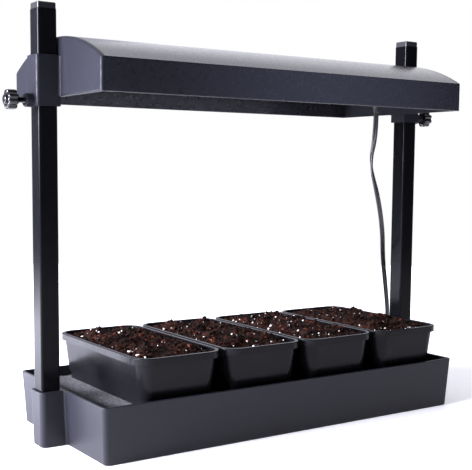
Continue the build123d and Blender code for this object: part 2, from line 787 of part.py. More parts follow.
# Rocker: two faces that meet at a shallow angle, on a pin, tipped to its off side
face_x = -(lamp_end + rocker_proud)
ridge_x = face_x + rocker_length / 2 * math.sin(math.radians(rocker_tilt))
with BuildPart() as lamp_rocker:
    with BuildSketch(Plane((0, 0, inlet_z - rocker_width / 2))):
        with BuildLine():
            half = rocker_length / 2
            back_x = -(lamp_end - rocker_depth)
            Polyline((back_x, -half / 2), (-pivot_x, -half), (face_x, -half), (ridge_x, 0))
            Polyline((ridge_x, 0), (face_x, half), (-pivot_x, half), (back_x, half / 2))
            Line((back_x, half / 2), (back_x, -half / 2))
        make_face()
    extrude(amount=rocker_width)
    fillet(lamp_rocker.edges().group_by(Axis.X)[0], rocker_proud / 2)
    with BuildSketch(Plane((-pivot_x, 0, inlet_z))):
        Circle(rocker_pin_diameter / 2)
    extrude(amount=rocker_width / 2 + rocker_pin_length, both=True)
lamp_rocker.part = lamp_rocker.part.rotate(Axis((-pivot_x, 0, 0), (0, 0, 1)), -rocker_tilt)
save(lamp_rocker, "lamp_rocker")

# Angled connector in the inlet, with a ribbed strain relief pointing down
connector_x = lamp_end + connector_gap
cord_exit_x = connector_x + relief_reach
relief_top = inlet_z - connector_height / 2
relief_tip = relief_top - relief_length
with BuildPart() as cord_connector:
    with BuildSketch(Plane.YZ.offset(connector_x)):
        with Locations((0, inlet_z)):
            RectangleRounded(connector_width, connector_height, connector_round)
    extrude(amount=connector_reach)
    fillet(cord_connector.faces().sort_by(Axis.X)[-1].edges(), connector_round)
    with BuildSketch(Plane.YZ.offset(connector_x)):
        with Locations((0, inlet_z)):
            SlotOverall(inlet_width - 2 * nose_fit, inlet_height - 2 * nose_fit)
    extrude(amount=-(inlet_depth + connector_gap - nose_gap))
    with BuildSketch(Plane.XZ):
        with BuildLine():
            ring_pitch = relief_length / (relief_rings + 1)
            slope = (relief_top_diameter - relief_tip_diameter) / 2 / relief_length
            Polyline(
                (cord_exit_x, relief_top + connector_round),
                (cord_exit_x + relief_top_diameter / 2, relief_top + connector_round),
                (cord_exit_x + relief_top_diameter / 2, relief_top),
                (cord_exit_x + relief_tip_diameter / 2, relief_tip),
                (cord_exit_x, relief_tip),
                close=True,
            )
        make_face()
        for ring in range(relief_rings):
            ring_z = relief_top - ring_pitch * (ring + 1)
            ring_x = cord_exit_x + relief_top_diameter / 2 - slope * (relief_top - ring_z)
            with Locations((ring_x, ring_z)):
                Rectangle(2 * relief_ring_depth, ring_pitch / 3, mode=Mode.SUBTRACT)
    revolve(axis=Axis((cord_exit_x, 0, 0), (0, 0, 1)))
    with BuildSketch(Plane.YZ.offset(inlet_floor)):
        with Locations((-pin_spacing / 2, inlet_z), (pin_spacing / 2, inlet_z)):
            Circle(pin_diameter / 2 + pin_fit)
    extrude(amount=inlet_depth + connector_gap, mode=Mode.SUBTRACT)
save(cord_connector, "cord_connector")


def corner_radii(points):
    """The largest even arcs for a route's corners: 0.45 of the shorter run beside each."""
    arc_share = 0.45
    radii = []
    for before, here, after in zip(points, points[1:], points[2:]):
        into = Vector(here) - Vector(before)
        out = Vector(after) - Vector(here)
        turn = math.radians(into.get_angle(out))
        radii.append(arc_share * min(into.length, out.length) / math.tan(turn / 2))
    return radii


# Free stretch of the cord: down from the lamp, behind the right post, over the table to the coil
table_z = cord_width / 2 + cord_table_gap
coil_outer = coil_middle_radius + coil_turns * coil_step / 4
coil_y_far = coil_y + coil_outer
cord_route = [
    (cord_exit_x, 0, relief_tip),
    (cord_exit_x, 0, 322),
    (187, 2, 288),
    (200, 0, 247),
    (214, 5.5, 206),
    (228, 19, 168),
    (247, 33, 130),
    (260, 41, 90),
    (265, 48, 52),
    (264, 62, 20),
    (258, 88, table_z),
    (246, 121, table_z),
    (226, 155, table_z),
    (200, 184, table_z),
    (168, coil_y_far, coil_lift),
    (coil_x + cord_width, coil_y_far, coil_lift),
]
route_radii = corner_radii(cord_route)
with BuildPart() as cord_drop:
    with BuildLine() as drop_line:
        FilletPolyline(*cord_route, radius=route_radii)
    with BuildSketch(Plane(drop_line.line ^ 0)):
        Circle(cord_width / 2)
    sweep()
save(cord_drop, "cord_drop")
print("cord_drop radii", [round(r, 1) for r in route_radii])


def coil_radius(turn):
    """Radius of the coil's middle line after a number of turns: it spirals in, then out."""
    half = coil_turns / 2
    return coil_outer - coil_step * (half - abs(turn - half))


def coil_point(turn):
    """Place and direction of the coil's middle line, which starts at its far side and climbs midway."""
    past = turn - coil_turns / 2
    climb_share = min(max(past / coil_climb_turns + 1 / 2, 0), 1)
    angle = math.pi / 2 + 2 * math.pi * turn
    radius = coil_radius(turn)
    inward = math.copysign(coil_step, past) if past else 0
    rise = coil_step * climb_share**2 * (3 - 2 * climb_share)
    rise_rate = coil_step * 6 * climb_share * (1 - climb_share) / coil_climb_turns
    place = Vector(
        coil_x + radius * math.cos(angle), coil_y + radius * math.sin(angle), coil_lift + rise
    )
    sweep_rate = 2 * math.pi * radius
    way = Vector(
        inward * math.cos(angle) - sweep_rate * math.sin(angle),
        inward * math.sin(angle) + sweep_rate * math.cos(angle),
        rise_rate,
    )
    return place, way.normalized()


def biarc(start, start_way, end, end_way):
    """Middle point of the two arcs that leave start along start_way and reach end along end_way."""
    span = end - start
    ways = start_way + end_way
    a = 2 * (1 - start_way.dot(end_way))
    b = 2 * span.dot(ways)
    reach = 2 * span.dot(span) / (b + math.sqrt(b * b + 4 * a * span.dot(span)))
    joint_a = start + start_way * reach
    joint_b = end - end_way * reach
    return (joint_a + joint_b) / 2, (joint_b - joint_a).normalized()


# Put-away coil in two layers, with the way out down to the plug
quarters = round(coil_turns * 4)
coil_nodes = [coil_point(q / 4) for q in range(quarters + 1)]
coil_nodes[0] = (coil_nodes[0][0], Vector(-1, 0, 0))
coil_nodes[-1] = (coil_nodes[-1][0], Vector(1, 0, 0))
last_place, last_way = coil_nodes[-1]
plug_z = plug_thickness / 2
plug_start = Vector(last_place.X + coil_way_out, last_place.Y, plug_z)
coil_nodes.append((plug_start - last_way * cord_width, last_way))
with BuildPart() as cord_coil:
    with BuildLine() as coil_line:
        Line(coil_nodes[0][0] - coil_nodes[0][1] * cord_width, coil_nodes[0][0])
        for (start, start_way), (end, end_way) in zip(coil_nodes, coil_nodes[1:]):
            middle, middle_way = biarc(start, start_way, end, end_way)
            TangentArc(start, middle, tangent=start_way)
            TangentArc(middle, end, tangent=middle_way)
        Line(plug_start - last_way * cord_width, plug_start)
    with BuildSketch(Plane(coil_line.line ^ 0)):
        Circle(cord_width / 2)
    sweep()
save(cord_coil, "cord_coil")

# The coil's least gap to itself, over points more than half a turn apart along the cord
coil_wire = coil_line.wire()
gap_steps = 600
line_points = [coil_wire.position_at(i / gap_steps) for i in range(gap_steps + 1)]
apart = math.ceil(gap_steps * math.pi * coil_middle_radius / coil_wire.length)
least = min(
    (line_points[i] - line_points[j]).length
    for i in range(gap_steps + 1)
    for j in range(i + apart, gap_steps + 1)
)
print("cord_coil least gap", round(least - cord_width, 2))
section_area = math.pi * cord_width**2 / 4
for piece, line in ((cord_drop, drop_line), (cord_coil, coil_line)):
    length = line.wire().length
    volume_share = piece.part.volume / (section_area * length)
    print("cord length", round(length, 1), "volume share", round(volume_share, 4))

# Strap round the coil
inner_pass = tie_turns + math.floor(coil_turns / 2 - tie_turns)
tie_clear = coil_radius(inner_pass) - cord_width / 2 - tie_gap
tie_inner = math.sqrt(tie_clear**2 - (tie_width / 2) ** 2)
tie_outer = coil_radius(tie_turns) + cord_width / 2 + tie_gap
tie_top = coil_lift + coil_step + cord_width / 2 + tie_gap
with BuildPart() as cord_tie:
    tie_x = coil_x - (tie_inner + tie_outer) / 2
    with BuildSketch(Plane((tie_x, coil_y, 0))):
        Rectangle(tie_outer - tie_inner + 2 * tie_thickness, tie_width)
    extrude(amount=tie_top + tie_thickness)
    fillet(cord_tie.edges().filter_by(Axis.Y), tie_thickness)
    with BuildSketch(Plane((tie_x, coil_y, tie_thickness))):
        Rectangle(tie_outer - tie_inner, tie_width)
    extrude(amount=tie_top - tie_thickness, mode=Mode.SUBTRACT)
save(cord_tie, "cord_tie")

# Mains plug lying beside the coil
with BuildPart() as plug_body:
    with BuildSketch(Plane.YZ.offset(plug_start.X)):
        with Locations((plug_start.Y, plug_z)):
            RectangleRounded(plug_nose_share * plug_width, plug_nose_share * plug_thickness, plug_round)
    with BuildSketch(Plane.YZ.offset(plug_start.X + plug_length)):
        with Locations((plug_start.Y, plug_z)):
            RectangleRounded(plug_width, plug_thickness, plug_round)
    loft()
save(plug_body, "plug_body")

blade_x = plug_start.X + plug_length
with BuildPart() as plug_blades:
    with BuildSketch(Plane.YZ.offset(blade_x)):
        for way in (-1, 1):
            with Locations((plug_start.Y + way * blade_spacing / 2, plug_z)):
                Rectangle(blade_thickness, blade_width)
    extrude(amount=blade_length)
    tips = plug_blades.faces().group_by(Axis.X)[-1].edges().filter_by(Axis.Y)
    chamfer(tips, blade_width / 4)
    with BuildSketch(Plane.XZ.offset(-plug_start.Y)):
        with Locations((blade_x + blade_length - blade_hole_setback, plug_z)):
            Circle(blade_hole_diameter / 2)
    extrude(amount=blade_spacing, both=True, mode=Mode.SUBTRACT)
save(plug_blades, "plug_blades")


def pot_outline(z, inset):
    """Plan of a pot at height z, drawn in from its outer face under the lip."""
    lean = pot_taper * (1 - (z - pot_foot) / pot_height)
    drawn_in = 2 * (pot_lip_reach + lean + inset)
    with BuildSketch() as plan:
        RectangleRounded(pot_lip_width - drawn_in, pot_lip_length - drawn_in, pot_corner - lean - inset)
    return plan.sketch


# Pots in a row, each with its filling
pot_floor = pot_foot + pot_wall
step_z = pot_foot + pot_foot_height
inner_step_z = step_z + pot_wall
drain_pitch_x = pot_lip_width / (drain_columns + 1)
drain_pitch_y = pot_lip_length / (drain_rows + 1)
mix_edge = pot_rim - mix_below_rim
mix_top = mix_edge + mix_crown
mix_inset = pot_wall + mix_gap
lump_radius = (lump_reach**2 + lump_height**2) / (2 * lump_height)
lump_lowest = math.degrees(math.asin(1 - lump_height / lump_radius))
for index in range(pot_count):
    x = pot_row_x + pot_pitch * (index - (pot_count - 1) / 2)
    with BuildPart() as pot:
        for low, high, inset in ((pot_foot, step_z, pot_foot_step), (step_z, pot_rim, 0)):
            for z in (low, high):
                with BuildSketch(Plane((x, 0, z))):
                    add(pot_outline(z, inset))
            loft(ruled=True)
        with BuildSketch(Plane((x, 0, pot_rim - pot_lip_height))):
            RectangleRounded(pot_lip_width, pot_lip_length, pot_corner + pot_lip_reach)
        extrude(amount=pot_lip_height)
        for low, high, inset in ((pot_floor, inner_step_z, pot_foot_step), (inner_step_z, pot_rim, 0)):
            for z in (low, high):
                with BuildSketch(Plane((x, 0, z))):
                    add(pot_outline(z, inset + pot_wall))
            loft(ruled=True, mode=Mode.SUBTRACT)
        with BuildSketch(Plane((x, 0, pot_foot))):
            with GridLocations(drain_pitch_x, drain_pitch_y, drain_columns, drain_rows):
                Circle(drain_diameter / 2)
        extrude(amount=pot_wall, mode=Mode.SUBTRACT)
        fillet(pot.faces().sort_by(Axis.Z)[-1].edges(), pot_lip_round)
    save(pot, f"pot_{index + 1}")

    with BuildPart() as mix:
        ledge_z = inner_step_z + mix_gap
        for low, high, inset in ((pot_floor + mix_gap, ledge_z, pot_foot_step), (ledge_z, mix_top, 0)):
            for z in (low, high):
                with BuildSketch(Plane((x, 0, z))):
                    add(pot_outline(z, inset + mix_inset))
            loft(ruled=True)
        front_view = Plane((x, 0, 0), (1, 0, 0), (0, -1, 0))
        end_view = Plane((x, 0, 0), (0, 1, 0), (1, 0, 0))
        for plane, width in ((front_view, pot_lip_width), (end_view, pot_lip_length)):
            with BuildSketch(plane):
                with BuildLine():
                    ThreePointArc((-width / 2, mix_edge), (0, mix_top), (width / 2, mix_edge))
                    Polyline(
                        (width / 2, mix_edge),
                        (width / 2, pot_foot),
                        (-width / 2, pot_foot),
                        (-width / 2, mix_edge),
                    )
                make_face()
            extrude(amount=pot_lip_length, both=True, mode=Mode.INTERSECT)
        lumps = GridLocations(lump_pitch, lump_pitch, lump_columns, lump_rows).locations
        for number, spot in enumerate(lumps):
            u, v = spot.position.X, spot.position.Y
            fall = mix_crown * max((2 * u / pot_lip_width) ** 2, (2 * v / pot_lip_length) ** 2)
            rise = lump_height * lump_rise_shares[(number + index) % len(lump_rise_shares)]
            with Locations((x + u, v, mix_top - fall + rise - lump_radius)):
                Sphere(lump_radius, arc_size1=lump_lowest, arc_size2=90)
    save(mix, f"potting_mix_{index + 1}")
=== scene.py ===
"""Looks of a tabletop led grow light garden: finishes, lead, watering mat, potting mix, small parts and stage."""

import math
import random

import bmesh
import bpy
from mathutils import Matrix, Vector, noise


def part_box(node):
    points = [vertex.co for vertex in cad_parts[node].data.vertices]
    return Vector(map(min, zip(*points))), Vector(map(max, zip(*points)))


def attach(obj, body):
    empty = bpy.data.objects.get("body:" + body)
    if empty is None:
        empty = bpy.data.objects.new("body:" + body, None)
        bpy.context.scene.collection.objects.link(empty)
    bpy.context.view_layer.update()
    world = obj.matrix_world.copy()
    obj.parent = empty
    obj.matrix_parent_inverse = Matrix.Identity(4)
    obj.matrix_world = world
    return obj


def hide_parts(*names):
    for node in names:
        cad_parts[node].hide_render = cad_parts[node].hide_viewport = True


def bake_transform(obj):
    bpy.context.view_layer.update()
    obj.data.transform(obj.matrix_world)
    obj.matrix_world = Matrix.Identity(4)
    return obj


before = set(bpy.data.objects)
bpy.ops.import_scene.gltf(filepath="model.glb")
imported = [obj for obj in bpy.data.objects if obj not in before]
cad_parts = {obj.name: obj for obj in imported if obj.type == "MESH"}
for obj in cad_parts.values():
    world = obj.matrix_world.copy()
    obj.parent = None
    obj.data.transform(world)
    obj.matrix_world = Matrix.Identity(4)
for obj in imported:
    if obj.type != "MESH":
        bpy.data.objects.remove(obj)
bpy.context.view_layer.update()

bl_info = {
    "name": "Grow light garden",
    "version": (1, 0, 0),
    "blender": (4, 5, 0),
    "location": "View3D > Sidebar > Garden",
    "description": "Finishes, lead, mat, potting mix and stage of a tabletop led grow light garden",
    "category": "Object",
}

MM = 0.001
POTS = (1, 2, 3, 4)
# Main lumps of each heap of potting mix, two columns of four, and how far each stands up from the crown
LUMP_PITCH = 40 * MM
LUMP_COLUMNS, LUMP_ROWS = 2, 4
LUMP_RISES = [rise * MM for rise in (4.5, 6.0, 3.5, 5.5, 6.0, 4.0, 5.0, 3.0)]
MIX_BELOW_RIM = 5 * MM
HEAP_CORNER = 12 * MM
HEAP_DEPTH = 12 * MM
HEAP_FOOT_SHARES = (0.96, 0.98, 0)  # the heap's foot is drawn in a little and made level
COARSE_LUMP, FINE_LUMP = 14 * MM, 5 * MM
FINE_LUMP_SHARE = 0.6
LUMP_NOISE = (1.0, 2.0)  # how fast the finer layers of noise fall off, and how much finer each is
# Bark crumbs and perlite grains, as shares of the heap's half size and of one grain's size
GRAIN_SPREAD_SHARES = (0.95, 0.97)
GRAIN_LOG_MEAN, GRAIN_LOG_SPREAD = -0.25, 0.5
LARGEST_GRAIN_SHARE = 1.7
NARROW_GRAIN_SHARES, FLAT_GRAIN_SHARES = (0.5, 0.9), (0.6, 1.1)
CRUMB_FLATNESS_SHARE, PERLITE_FLATNESS_SHARE = 0.55, 0.85
GRAIN_FULL_TURN, GRAIN_AXIS_RISE = 6.3, 2  # each grain is turned about an axis that mostly points up
GRAIN_PROUD_SHARE = 0.1
GRAIN_DENT_SHARE = 0.11
RED_BARK_ODDS = (2.0, 3.0)  # of a beta draw: most crumbs are dark and a few are red
SIDES = ("left", "right")
FACING, ALONG = 0.9, 0.99  # least cosine for a face that faces a way, and for an edge that runs along it

# Thumbscrew thread, plug, strap and wicks
THREAD_STEPS = 20
MERGE_DISTANCE = 0.01 * MM
PLUG_TAPER_SHARE = 0.62
PLUG_NECK_SET_IN, PLUG_NECK_LENGTH = 2.8 * MM, 8 * MM
PLUG_GRIP_SET_IN, PLUG_GRIP_SLOPE, PLUG_GRIP_DEPTH = 3.6 * MM, 0.8 * MM, 1.2 * MM
PLUG_ROUND = 0.9 * MM
STRAP_CLEARANCE, STRAP_ROUND = 0.2 * MM, 1.8 * MM
FELT_LUMP, FELT_LUMP_TOP_SHARE = 6 * MM, 0.9
WICK_PLACES = (-0.115, 0.115)
WICK_HALF_LENGTH, WICK_HALF_THICKNESS, WICK_ROUND = 0.035, 1.3 * MM, 1.2 * MM

# The lead's route in metres: from the strain relief, behind the right post, over the table to the coil
LEAD_TABLE = 0.0017
LEAD_ROUTE = [
    (0.194, 0, 0.3505),
    (0.194, 0, 0.322),
    (0.187, 0.002, 0.288),
    (0.200, 0, 0.247),
    (0.214, 0.0055, 0.206),
    (0.228, 0.019, 0.168),
    (0.247, 0.033, 0.130),
    (0.260, 0.041, 0.090),
    (0.265, 0.048, 0.052),
    (0.264, 0.062, 0.020),
    (0.258, 0.088, LEAD_TABLE),
    (0.246, 0.121, LEAD_TABLE),
    (0.226, 0.155, LEAD_TABLE),
    (0.200, 0.184, LEAD_TABLE),
    (0.168, 0.20535, LEAD_TABLE),
    (0.1362, 0.20535, LEAD_TABLE),
]
# How far the flat lead has turned about its own line, in degrees, by its height on the way down
LEAD_TWIST = [(0.200, 168), (0.250, 156), (0.289, 90), (0.325, 8), (0.3505, 0)]
LEAD_FACING = Vector((0.83, -0.55, 0))
LEAD_LEVEL_FROM = 0.020  # below this height the lead lies flat
LEAD_CURVE_STEPS = 8
CORE_STEPS, CORE_ARC = 9, 280  # outline points of one core, and the arc that they span in degrees
COIL_PLACE = Vector((0.130, 0.162, 0.00255))
COIL_TURNS = 5.5
COIL_TURN_POINTS = 16
COIL_CLIMB_TURNS = 0.5
# From the coil's last turn to the plug
LEAD_END = [(0.141, 0.11865, 0.0061), (0.152, 0.11865, 0.0068), (0.163, 0.11865, 0.008), (0.174, 0.11865, 0.008)]

FILM_WIDTH = 36
FLOOR_SIDES = 96
# Glow of the floor: distance from its middle in metres, and share of the paper's colour
FLOOR_GLOW_SHARES = ((0.45, 0.35), (1.0, 0.95))
# Soft boxes: name, place, target, size, power in watts and colour
SOFT_BOXES = (
    ("overhead_box", (0.2, 0.3, 1.9), (0, 0, 0), (2.0, 2.0), 12, "#ffffff"),
    ("key_box", (-1.5, -0.4, 1.4), (0, 0, 0.2), (1.0, 1.0), 8, "#ffffff"),
    ("left_box", (-1.9, 0.15, 0.6), (0, 0, 0.25), (1.2, 0.5), 260, "#ecedff"),
    ("left_floor_box", (-0.75, 0.55, 0.2), (-0.75, 0.55, 0), (0.7, 0.7), 18, "#ecedff"),
    ("back_right_box", (1.5, 1.4, 1.2), (0, 0, 0.4), (1.6, 1.2), 6, "#ffffff"),
    ("front_dim_box", (1.25, -1.6, 0.5), (0, 0, 0.35), (0.5, 0.8), 2.5, "#ccd2ff"),
)
# Surround: where it is brightest, its colours from the far side to there, and its strength
SURROUND_WAY = Vector((0.15, 0.80, 0.58)).normalized()
SURROUND_GRADE = ((0.25, "#101115"), (0.8, "#4a4b55"), (0.97, "#cfcfe0"))
SURROUND_STRENGTH = 1.6


def srgb(code):
    """Linear colour, with full alpha, of an sRGB hex code."""
    channels = [int(code[i : i + 2], 16) / 255 for i in (1, 3, 5)]
    return (*[c / 12.92 if c <= 0.04045 else ((c + 0.055) / 1.055) ** 2.4 for c in channels], 1.0)


def length_property(label, description, metres):
    """A length that the user may change."""
    return bpy.props.FloatProperty(name=label, description=description, default=metres, unit="LENGTH")


def colour_property(label, description, code):
    """A colour that the user may change, given as an sRGB hex code."""
    return bpy.props.FloatVectorProperty(
        name=label, description=description, default=srgb(code), size=4, subtype="COLOR", min=0, max=1
    )


class GardenSizes(bpy.types.PropertyGroup):
    """Sizes of the pieces that are modelled here."""

    lead_width: length_property("Lead width", "Across both cores", 6.2 * MM)
    lead_thickness: length_property("Lead thickness", "Across one core", 3.1 * MM)
    lead_length: length_property("Lead length", "From strain relief to plug", 1.79)
    coil_middle_radius: length_property("Coil radius", "Middle of the coil's turns", 34 * MM)
    coil_step: length_property("Coil step", "From one turn to the next", 6.8 * MM)
    coil_layer: length_property("Coil layer", "From the lower layer to the upper one", 3.5 * MM)
    thread_pitch: length_property("Thread pitch", "Of the thumbscrews' studs", 1.25 * MM)
    thread_depth: length_property("Thread depth", "Crest to root", 0.7 * MM)
    strap_thickness: length_property("Strap thickness", "Of the tie round the coil", 0.8 * MM)
    felt_cell: length_property("Felt cell", "Size of the mat's surface cells", 2.4 * MM)
    felt_rise: length_property("Felt rise", "Height of the mat's lumps", 0.5 * MM)
    felt_thickness: length_property("Felt thickness", "Of the mat and its wicks", 3.0 * MM)
    mix_cell: length_property("Mix cell", "Size of the heap's surface cells", 1.7 * MM)
    mix_crown: length_property("Mix crown", "Rise of the heap over its edge", 6.0 * MM)
    mix_lump: length_property("Mix lump", "Height of the heap's small lumps", 2.4 * MM)
    lump_spread: length_property("Lump spread", "Half width of the heap's main lumps", 12 * MM)
    crumb_size: length_property("Crumb size", "Middle size of the bark crumbs", 3.6 * MM)
    perlite_size: length_property("Perlite size", "Middle size of the perlite grains", 2.0 * MM)
    crumb_count: bpy.props.IntProperty(name="Crumbs", description="Bark crumbs in one pot", default=1500, min=0)
    perlite_count: bpy.props.IntProperty(name="Perlite", description="Perlite grains in one pot", default=110, min=0)


class GardenColours(bpy.types.PropertyGroup):
    """Colours of the finishes."""

    tray: colour_property("Tray", "Moulded tray and hood", "#17171c")
    post: colour_property("Posts", "Powder coat", "#08080a")
    felt: colour_property("Mat", "Felt fibres", "#0e0e10")
    pot: colour_property("Pots", "Formed sheet", "#0c0c0e")
    bark: colour_property("Bark", "Dark crumbs", "#1d0f0a")
    bark_red: colour_property("Red bark", "Fresh crumbs", "#4a2418")
    perlite: colour_property("Perlite", "Grains", "#ddd8cf")
    lead: colour_property("Lead", "PVC sheath", "#141416")
    knob: colour_property("Knobs", "Polished moulding", "#0c0c0d")
    floor: colour_property("Floor", "Paper sweep", "#f4f4f6")


class GardenStage(bpy.types.PropertyGroup):
    """Camera and floor."""

    camera_place: bpy.props.FloatVectorProperty(
        name="Camera place",
        description="Where the camera stands",
        default=(-0.62194, -0.89368, 0.27985),
        unit="LENGTH",
        subtype="TRANSLATION",
    )
    camera_yaw: bpy.props.FloatProperty(
        name="Yaw", description="Camera's turn from straight ahead", default=-0.59132, subtype="ANGLE"
    )
    camera_pitch: bpy.props.FloatProperty(
        name="Pitch", description="Camera's tilt over the horizon", default=-0.09649, subtype="ANGLE"
    )
    camera_roll: bpy.props.FloatProperty(
        name="Roll", description="Camera's turn about its own line", default=0.00755, subtype="ANGLE"
    )
    lens: bpy.props.FloatProperty(name="Lens", description="Focal length on a 36 mm wide film", default=73.307)
    shift: bpy.props.FloatVectorProperty(
        name="Shift", description="Shift of the frame, in frame widths", size=2, default=(0.01356, 0.0572)
    )
    floor_radius: length_property("Floor radius", "Of the round floor", 1.8)


def add_node(tree, kind, links=None, stops=(), **settings):
    """Add one node: links gives inputs as sockets to join or values to set, stops a ramp's places and colours."""
    node = tree.nodes.new(kind)
    for name, value in settings.items():
        setattr(node, name, value)
    for socket, source in (links or {}).items():
        if isinstance(source, bpy.types.NodeSocket):
            tree.links.new(source, node.inputs[socket])
        else:
            node.inputs[socket].default_value = source
    for index, (place, colour) in enumerate(stops):
        elements = node.color_ramp.elements
        stop = elements[index] if index < 2 else elements.new(place)
        stop.position, stop.color = place, colour
    return node


def new_material(name, **sockets):
    """A Principled material with fixed socket values; returns it with its tree, shader and object coordinates."""
    material = bpy.data.materials.new(name)
    material.use_nodes = True
    tree = material.node_tree
    tree.nodes.clear()
    shader = add_node(tree, "ShaderNodeBsdfPrincipled", {k.replace("_", " "): v for k, v in sockets.items()})
    add_node(tree, "ShaderNodeOutputMaterial", {"Surface": shader.outputs["BSDF"]})
    coords = add_node(tree, "ShaderNodeTexCoord")
    return material, tree, shader, coords.outputs["Object"]


def drive(shader, **sources):
    """Join the first output of each node to an input of the shader."""
    for socket, source in sources.items():
        shader.id_data.links.new(source.outputs[0], shader.inputs[socket.replace("_", " ")])


def shade(colour, share):
    """The colour with its light multiplied by a share."""
    return (*[c * share for c in colour[:3]], 1.0)


def spread_gloss(tree, source, roughness):
    """Roughness from one value to another over the middle of a noise."""
    span = {"From Min": 0.3, "From Max": 0.7, "To Min": roughness[0], "To Max": roughness[1]}
    return add_node(tree, "ShaderNodeMapRange", {"Value": source, **span})


def moulded_plastic(
    name, colour, grain, depth, roughness, flow=80 * MM, lift=1.3, stretch=(1, 1, 1), detail=2.0, specular=0.5
):
    """Moulding: flow clouds in the colour, and the mould's grain in gloss and relief.

    Stretch draws the grain out, detail adds finer grain to it, and specular sets how much the surface mirrors.
    """
    material, tree, shader, place = new_material(name, IOR=1.5, Specular_IOR_Level=specular)
    clouds = add_node(tree, "ShaderNodeTexNoise", {"Vector": place, "Scale": 1 / flow, "Detail": 4.0})
    tint = add_node(
        tree, "ShaderNodeValToRGB", {"Fac": clouds.outputs["Fac"]}, [(0.3, colour), (0.7, shade(colour, lift))]
    )
    drawn = add_node(tree, "ShaderNodeMapping", {"Vector": place, "Scale": stretch})
    spark = add_node(
        tree, "ShaderNodeTexNoise", {"Vector": drawn.outputs["Vector"], "Scale": 1 / grain, "Detail": detail}
    )
    gloss = spread_gloss(tree, spark.outputs["Fac"], roughness)
    relief = add_node(tree, "ShaderNodeBump", {"Height": spark.outputs["Fac"], "Distance": depth})
    drive(shader, Base_Color=tint, Roughness=gloss, Normal=relief)
    return material


def worked_metal(name, colour, line, stretch, roughness, depth=0.004 * MM):
    """Drawn, turned or plated metal: fine lines along one way in gloss and relief; stretch lengthens them."""
    material, tree, shader, place = new_material(name, Metallic=1.0)
    turned = add_node(tree, "ShaderNodeMapping", {"Vector": place, "Scale": stretch})
    lines = add_node(
        tree, "ShaderNodeTexNoise", {"Vector": turned.outputs["Vector"], "Scale": 1 / line, "Detail": 3.0}
    )
    tint = add_node(
        tree, "ShaderNodeValToRGB", {"Fac": lines.outputs["Fac"]}, [(0.3, shade(colour, 0.86)), (0.7, colour)]
    )
    gloss = spread_gloss(tree, lines.outputs["Fac"], roughness)
    relief = add_node(tree, "ShaderNodeBump", {"Height": lines.outputs["Fac"], "Distance": depth})
    drive(shader, Base_Color=tint, Roughness=gloss, Normal=relief)
    return material


def needled_felt(colour):
    """Needle-punched polyester felt: a matt mass of crossing fibres, pale ones among dark ones."""
    material, tree, shader, place = new_material(
        "needled_polyester_felt", Roughness=0.95, Specular_IOR_Level=0.15, Sheen_Weight=0.08, Sheen_Roughness=0.5
    )
    # Fibres are 0.03 mm thick; drawn as tufts of about 2 mm so that they show
    fibres = add_node(tree, "ShaderNodeTexNoise", {"Vector": place, "Scale": 1 / (2.4 * MM), "Detail": 3.0})
    tufts = add_node(tree, "ShaderNodeTexVoronoi", {"Vector": place, "Scale": 1 / (1.8 * MM)})
    mass = add_node(
        tree, "ShaderNodeMath", {0: fibres.outputs["Fac"], 1: tufts.outputs["Distance"]}, operation="MULTIPLY"
    )
    tint = add_node(
        tree,
        "ShaderNodeValToRGB",
        {"Fac": mass.outputs["Value"]},
        [(0.10, shade(colour, 0.25)), (0.24, colour), (0.42, shade(colour, 14))],
    )
    relief = add_node(tree, "ShaderNodeBump", {"Height": mass.outputs["Value"], "Distance": 0.8 * MM})
    drive(shader, Base_Color=tint, Normal=relief)
    return material


def bark_mix(name, colour, red, attribute=None):
    """Composted bark: damp dark crumbs with a dull shine, some fresher and red; attribute tints each crumb."""
    material, tree, shader, place = new_material(name, Specular_IOR_Level=0.05)
    lumps = add_node(tree, "ShaderNodeTexNoise", {"Vector": place, "Scale": 1 / (3.2 * MM), "Detail": 6.0})
    source = lumps.outputs["Fac"]
    if attribute:
        source = add_node(tree, "ShaderNodeAttribute", attribute_name=attribute).outputs["Fac"]
    tint = add_node(
        tree, "ShaderNodeValToRGB", {"Fac": source}, [(0.30, shade(colour, 0.4)), (0.55, colour), (0.80, red)]
    )
    gloss = add_node(tree, "ShaderNodeMapRange", {"Value": lumps.outputs["Fac"], "To Min": 0.5, "To Max": 0.9})
    relief = add_node(tree, "ShaderNodeBump", {"Height": lumps.outputs["Fac"], "Distance": 0.9 * MM})
    drive(shader, Base_Color=tint, Roughness=gloss, Normal=relief)
    return material


def expanded_perlite(colour):
    """Expanded perlite: chalky white grains with fine pits."""
    material, tree, shader, place = new_material("expanded_perlite", Roughness=0.9, Specular_IOR_Level=0.3)
    pits = add_node(tree, "ShaderNodeTexVoronoi", {"Vector": place, "Scale": 1 / (0.6 * MM)})
    tint = add_node(
        tree, "ShaderNodeValToRGB", {"Fac": pits.outputs["Distance"]}, [(0.0, shade(colour, 0.7)), (0.5, colour)]
    )
    relief = add_node(tree, "ShaderNodeBump", {"Height": pits.outputs["Distance"], "Distance": 0.2 * MM})
    drive(shader, Base_Color=tint, Normal=relief)
    return material


